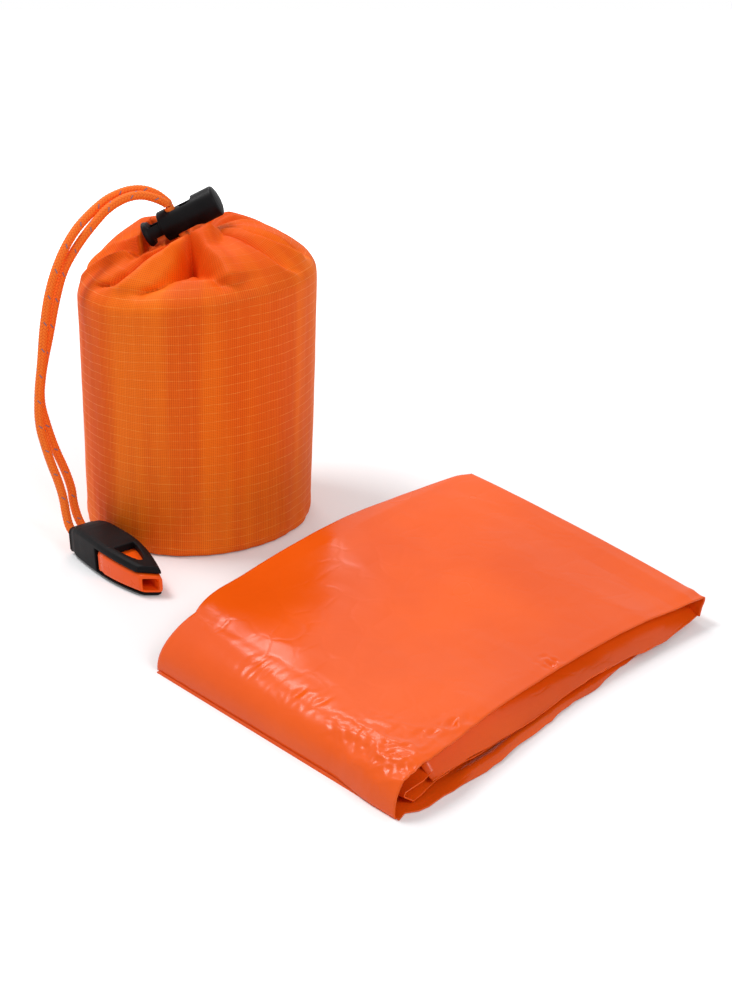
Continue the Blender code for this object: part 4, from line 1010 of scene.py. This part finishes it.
# Folded sleeping bag
# Glossy orange film, folded to and fro in a stack of leaves. The top leaf is one piece with the
# rounded fold at its side, and the leaf under it droops over the edges of the ones below.
BAG_CORNER = Vector((10.9, -99.4, 0.0)) * MM
BAG_TURN = radians(45.1)
BAG_LENGTH = 117.1
BAG_WIDTH = 92.7
FOLD_HEIGHT = 10.6
FAR_HEIGHT = 21.4
BAG_CROWN = 2.4
CORNER_CROWN = 2.8
EDGE_BOW = 4.5
BACK_BOW = 7.5
FAR_BOW = 1.5
FILM = 0.35
# Height of the cover's open edge at places along it
OPEN_EDGE = (
    (-16, 11.7), (0, 11.6), (8, 11.2), (22, 11.2), (37, 10.4), (50, 10.0), (71, 9.7), (91, 9.7),
    (104, 8.9), (112, 9.2), (117, 8.8),
)


def on_bag(along, out, up):
    """From the bag's own directions to the row frame."""
    c, s = cos(BAG_TURN), sin(BAG_TURN)
    x = BAG_CORNER.x / MM + along * c + out * s
    y = BAG_CORNER.y / MM + along * s - out * c
    return np.stack((x, y, up), axis=1) * MM


def read_off(table, value, column=1):
    return np.interp(value, [row[0] for row in table], [row[column] for row in table])


def hill(value, middle, width):
    """1 at the middle, and falling off softly on both sides."""
    return np.exp(-((value - middle) / width) ** 2)


def film_top(along, out):
    u = np.clip(along / BAG_LENGTH, 0.0, 1.0)
    v = np.clip(out / BAG_WIDTH, 0.0, 1.0)
    far = FOLD_HEIGHT + (FAR_HEIGHT - FOLD_HEIGHT) * u
    crown = BAG_CROWN * np.sin(pi * u) + CORNER_CROWN * hill(along, 5, 13)
    return far + (read_off(OPEN_EDGE, along) - far) * v + crown * (1 - v) ** 2


def edges_at(along, level):
    """Where a layer starts at the closed side and ends at the open one."""
    u = np.clip(along / BAG_LENGTH, 0.0, 1.0)
    start = 1.6 * soft_step(along, 111.0, 117.5) - BACK_BOW * level * np.sin(pi * u ** 0.75)
    return start, BAG_WIDTH - EDGE_BOW * np.sin(pi * u) * level


def far_reach(along, out):
    bow = 1 + FAR_BOW / BAG_LENGTH * np.sin(pi * np.clip(out / BAG_WIDTH, 0.0, 1.0))
    return np.where(along > 0, along * bow, along)


# The cover's way from under the fold to its hanging lip: place along, turn round the fold, lip share
cover_path = [(4.0, pi / 2, 0.0), (1.8, pi / 2, 0.0)]
cover_path += [(0.0, pi / 2 * (1 - k / 28), 0.0) for k in range(29)]
cover_path += [(k * BAG_LENGTH / 96, 0.0, 0.0) for k in range(1, 97)]
cover_path += [(BAG_LENGTH, 0.0, k / 8) for k in range(1, 9)]
cover_line = np.array(cover_path)
cover_steps = np.hypot(np.diff(cover_line[:, 0]), 15 * np.diff(cover_line[:, 1]))
cover_steps += 5 * np.diff(cover_line[:, 2])
cover_gone = np.concatenate(([0.0], np.cumsum(cover_steps)))


def creased(points, size, seed):
    """Sharp ridges of about that size, from -1 to 1, at each point."""
    return 1 - 2 * np.abs(2 * rumple(points, size, seed))


def cover_place(u, v):
    share = u * cover_gone[-1]
    base, turn, lip = (np.interp(share, cover_gone, cover_line[:, i]) for i in range(3))
    sharpness = 0.91 - 0.285 * v
    reach = 14.3 + 1.3 * soft_step(v, 0.74, 0.92)
    along = base - reach * np.sin(turn) ** sharpness
    level = np.cos(turn) ** sharpness * (1 - (0.40 + 0.32 * v) * lip)
    along = along + 0.5 * np.sin(pi * np.minimum(lip * 2, 1)) - 1.6 * lip * v
    start, end = edges_at(along, level ** 0.5)
    out = start + (end - start) * v
    flat = np.stack((along, out, np.zeros_like(out)), axis=1)
    dents = 0.45 * rumple(flat, 30.0, 5) + 0.07 * rumple(flat, 9.0, 6)
    creases = 0.06 * (1 - 2 * np.abs(rumple(flat * (1.0, 0.4, 1.0), 9.0, 7)))
    fold_end = hill(along, -7.0, 8.0) * soft_step(out, 58.0, 80.0)
    crest = hill(along, -6.0, 3.5) * soft_step(out, 24.0, 32.0) * (1 - soft_step(out, 56.0, 68.0))
    facet = hill(along - 9.0 + (92.0 - out) * 0.2, 0.0, 7.5) * hill(out, 87.5, 3.5)
    pinched = creased(flat * (1.0, 0.6, 1.0), 5.5, 8)
    crest *= 0.3 + 0.7 * soft_step(np.abs(out - 42.0), 3.0, 9.0)
    pinched += 0.45 * creased(flat, 2.4, 17)
    crumple = 0.42 * fold_end * pinched + 0.17 * crest * creased(flat * (0.4, 1.0, 1.0), 2.6, 18)
    tick = hill(along, 52.0, 2.5) * hill(out, 85.0, 3.5)
    crumple += facet * (0.06 * (along - 9.0) + 0.38 * creased(flat * (0.45, 1.0, 1.0), 2.4, 12))
    crumple += tick * 0.45 * creased(flat, 2.4, 16)
    corner = soft_step(along, 106.0, 116.0) * soft_step(out, 80.0, 91.0)
    crumple += 0.22 * corner * creased(flat * (0.5, 1.0, 1.0), 5.0, 13)
    inside = soft_step(level, 0.0, 0.3)
    top = film_top(along, out) - FILM / 2
    height = FILM / 2 + (top - FILM / 2) * level + (dents + creases + crumple) * inside
    height -= 0.25 * soft_step(2 * v - 1, 0.9, 1.0) * level
    along = far_reach(along, out) - 0.3 * (dents + crumple) * (along < 0)
    return on_bag(along, out, np.maximum(height, FILM / 2))


def film_cut(u, v):
    return u * 0.135, v * 0.093


film = crinkled_film("folded_film", (0.90, 0.115, 0.006, 1.0), (0.80, 0.090, 0.003, 1.0), 0.35)
cover_mesh = cloth_grid("cover_and_fold", 280, 150, cover_place, film_cut)
cover = sheet_piece(cover_mesh, film, FILM * MM, 0.0)
stand_for("cover_leaf")


# Open edge of each inner leaf: place along, how far out it lies, and its height
LEAF_EDGES = (
    (
        (-15.4, 93.9, 0.3), (-13.3, 92.9, 0.3), (-10.6, 92.9, 0.4), (-8.4, 95.7, 0.3), (-6.2, 95.2, 0.5),
        (-1.6, 94.9, 0.3), (5, 95.3, 0.4), (11.5, 95.6, 0.3), (20.7, 96.0, 0.6), (28, 94.8, 0.4),
        (40, 94.1, 0.3), (47, 93.0, 0.5), (54, 92.6, 0.4), (66, 92.3, 0.3), (77, 91.0, 0.4), (86, 90.0, 0.3),
    ),
    (
        (-10.5, 90.6, 1.8), (-8.2, 92.0, 1.1), (-4.8, 92.0, 1.9), (-1.3, 91.9, 3.0), (11, 91.6, 2.6),
        (24, 91.2, 1.6), (39, 90.6, 1.7), (48, 90.5, 1.9), (63, 90.4, 3.0), (76, 90.6, 2.4), (90, 90.8, 1.5),
        (95, 88.0, 1.2),
    ),
    (
        (-10.7, 91.0, 3.8), (-6.3, 91.4, 4.6), (-2.1, 91.2, 5.0), (4, 88.0, 4.6), (20, 84.0, 4.4),
        (60, 80.0, 5.0), (111, 80.0, 4.5),
    ),
    (
        (-2.2, 92.1, 4.1), (10.5, 92.2, 3.4), (24, 91.9, 2.5), (39, 91.5, 2.5), (49, 91.2, 2.8),
        (63, 91.2, 3.7), (80, 92.0, 2.8), (98, 93.3, 2.0), (109, 92.4, 2.3), (114, 91.6, 2.6),
    ),
)
LEAF_ENDS = ((-15.2, 112.5), (-8.4, 112.5), (-10.0, 116.0), (-2.2, 116.0))
leaf_path = []
for layer, (left, right) in enumerate(LEAF_ENDS):
    stops = [left + (right - left) * k / 44 for k in range(45)]
    if layer % 2 == 1:
        stops.reverse()
    leaf_path += [(stop, float(layer), 0.0) for stop in stops]
    if layer < 3:
        side = 1 if layer % 2 == 0 else -1
        turn_from = stops[-1]
        turn_to = LEAF_ENDS[layer + 1][1 if side > 0 else 0]
        for k in range(1, 6):
            leaf_path.append((
                turn_from + (turn_to - turn_from) * k / 6 + 1.2 * side * sin(pi * k / 6), layer + k / 6, 0.0
            ))
leaf_line = np.array(leaf_path)
leaf_columns = len(leaf_line) - 1


def leaf_edge(along, layer, column):
    """The open edge's reach or height at a place along a leaf, or between two of them at a turn."""
    below = np.floor(layer).astype(int)
    share = layer - below
    values = np.array([read_off(edge, along, column) for edge in LEAF_EDGES])
    each = np.arange(len(along))
    return values[below, each] * (1 - share) + values[np.minimum(below + 1, 3), each] * share


def inner_place(u, v):
    i = np.rint(u * leaf_columns).astype(int)
    along, layer = leaf_line[i, 0], leaf_line[i, 1]
    v = 1 - (1 - v) ** 1.5
    level = np.interp(layer, (0, 1, 2, 3), (0.0, 0.26, 0.55, 0.88))
    start, _ = edges_at(along, level)
    reach = leaf_edge(along, layer, 1)
    flat = np.stack((along, np.full_like(along, 90.0), layer * 9), axis=1)
    ragged = 0.5 * rumple(flat, 9.0, 9) + 0.25 * rumple(flat, 2.6, 10)
    out = start + 0.8 + (reach + ragged - start - 0.8) * v
    spots = np.stack((along, out, layer * 9), axis=1)
    sag = 0.35 * rumple(spots, 14.0, 11) * soft_step(level, 0.1, 0.3)
    sunk = np.clip(1 + np.minimum(along, 0.0) / 16.0, 0.35, 1.0)
    room = film_top(np.maximum(along, 0.0), out) - FILM / 2
    gap = 0.27 * soft_step(along, 2.0, 45.0) * soft_step(out, reach - 26.0, reach - 7.0)
    inside = FILM / 2 + (room - FILM / 2) * (level - gap * soft_step(layer, 2.5, 3.0)) * sunk + sag
    tip = leaf_edge(along, layer, 2)
    fall = np.clip((out - reach + 7.0) / 7.0, 0.0, 1.0)
    drawn = 1 - (1 - fall) ** 1.15
    height = inside + (tip - inside) * np.where(level > 0.8, drawn, fall ** 1.4)
    height += 0.25 * rumple(spots * (1.0, 0.5, 1.0), 4.0, 14) * fall * soft_step(level, 0.0, 0.2)
    belly = np.sin(pi * np.clip((fall - 0.25) / 0.75, 0.0, 1.0)) * soft_step(along, 2.0, 14.0)
    height += 1.0 * belly * (1 - soft_step(layer, 0.0, 0.4))
    return on_bag(far_reach(along, out), out, np.maximum(height, FILM / 2))


inner_mesh = cloth_grid("inner_leaves", leaf_columns, 84, inner_place, lambda u, v: (u * 0.48, v * 0.093))
inner = sheet_piece(inner_mesh, film, FILM * MM, 0.0)
stand_for("folded_bag")
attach(inner, "folded")

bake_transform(cover)
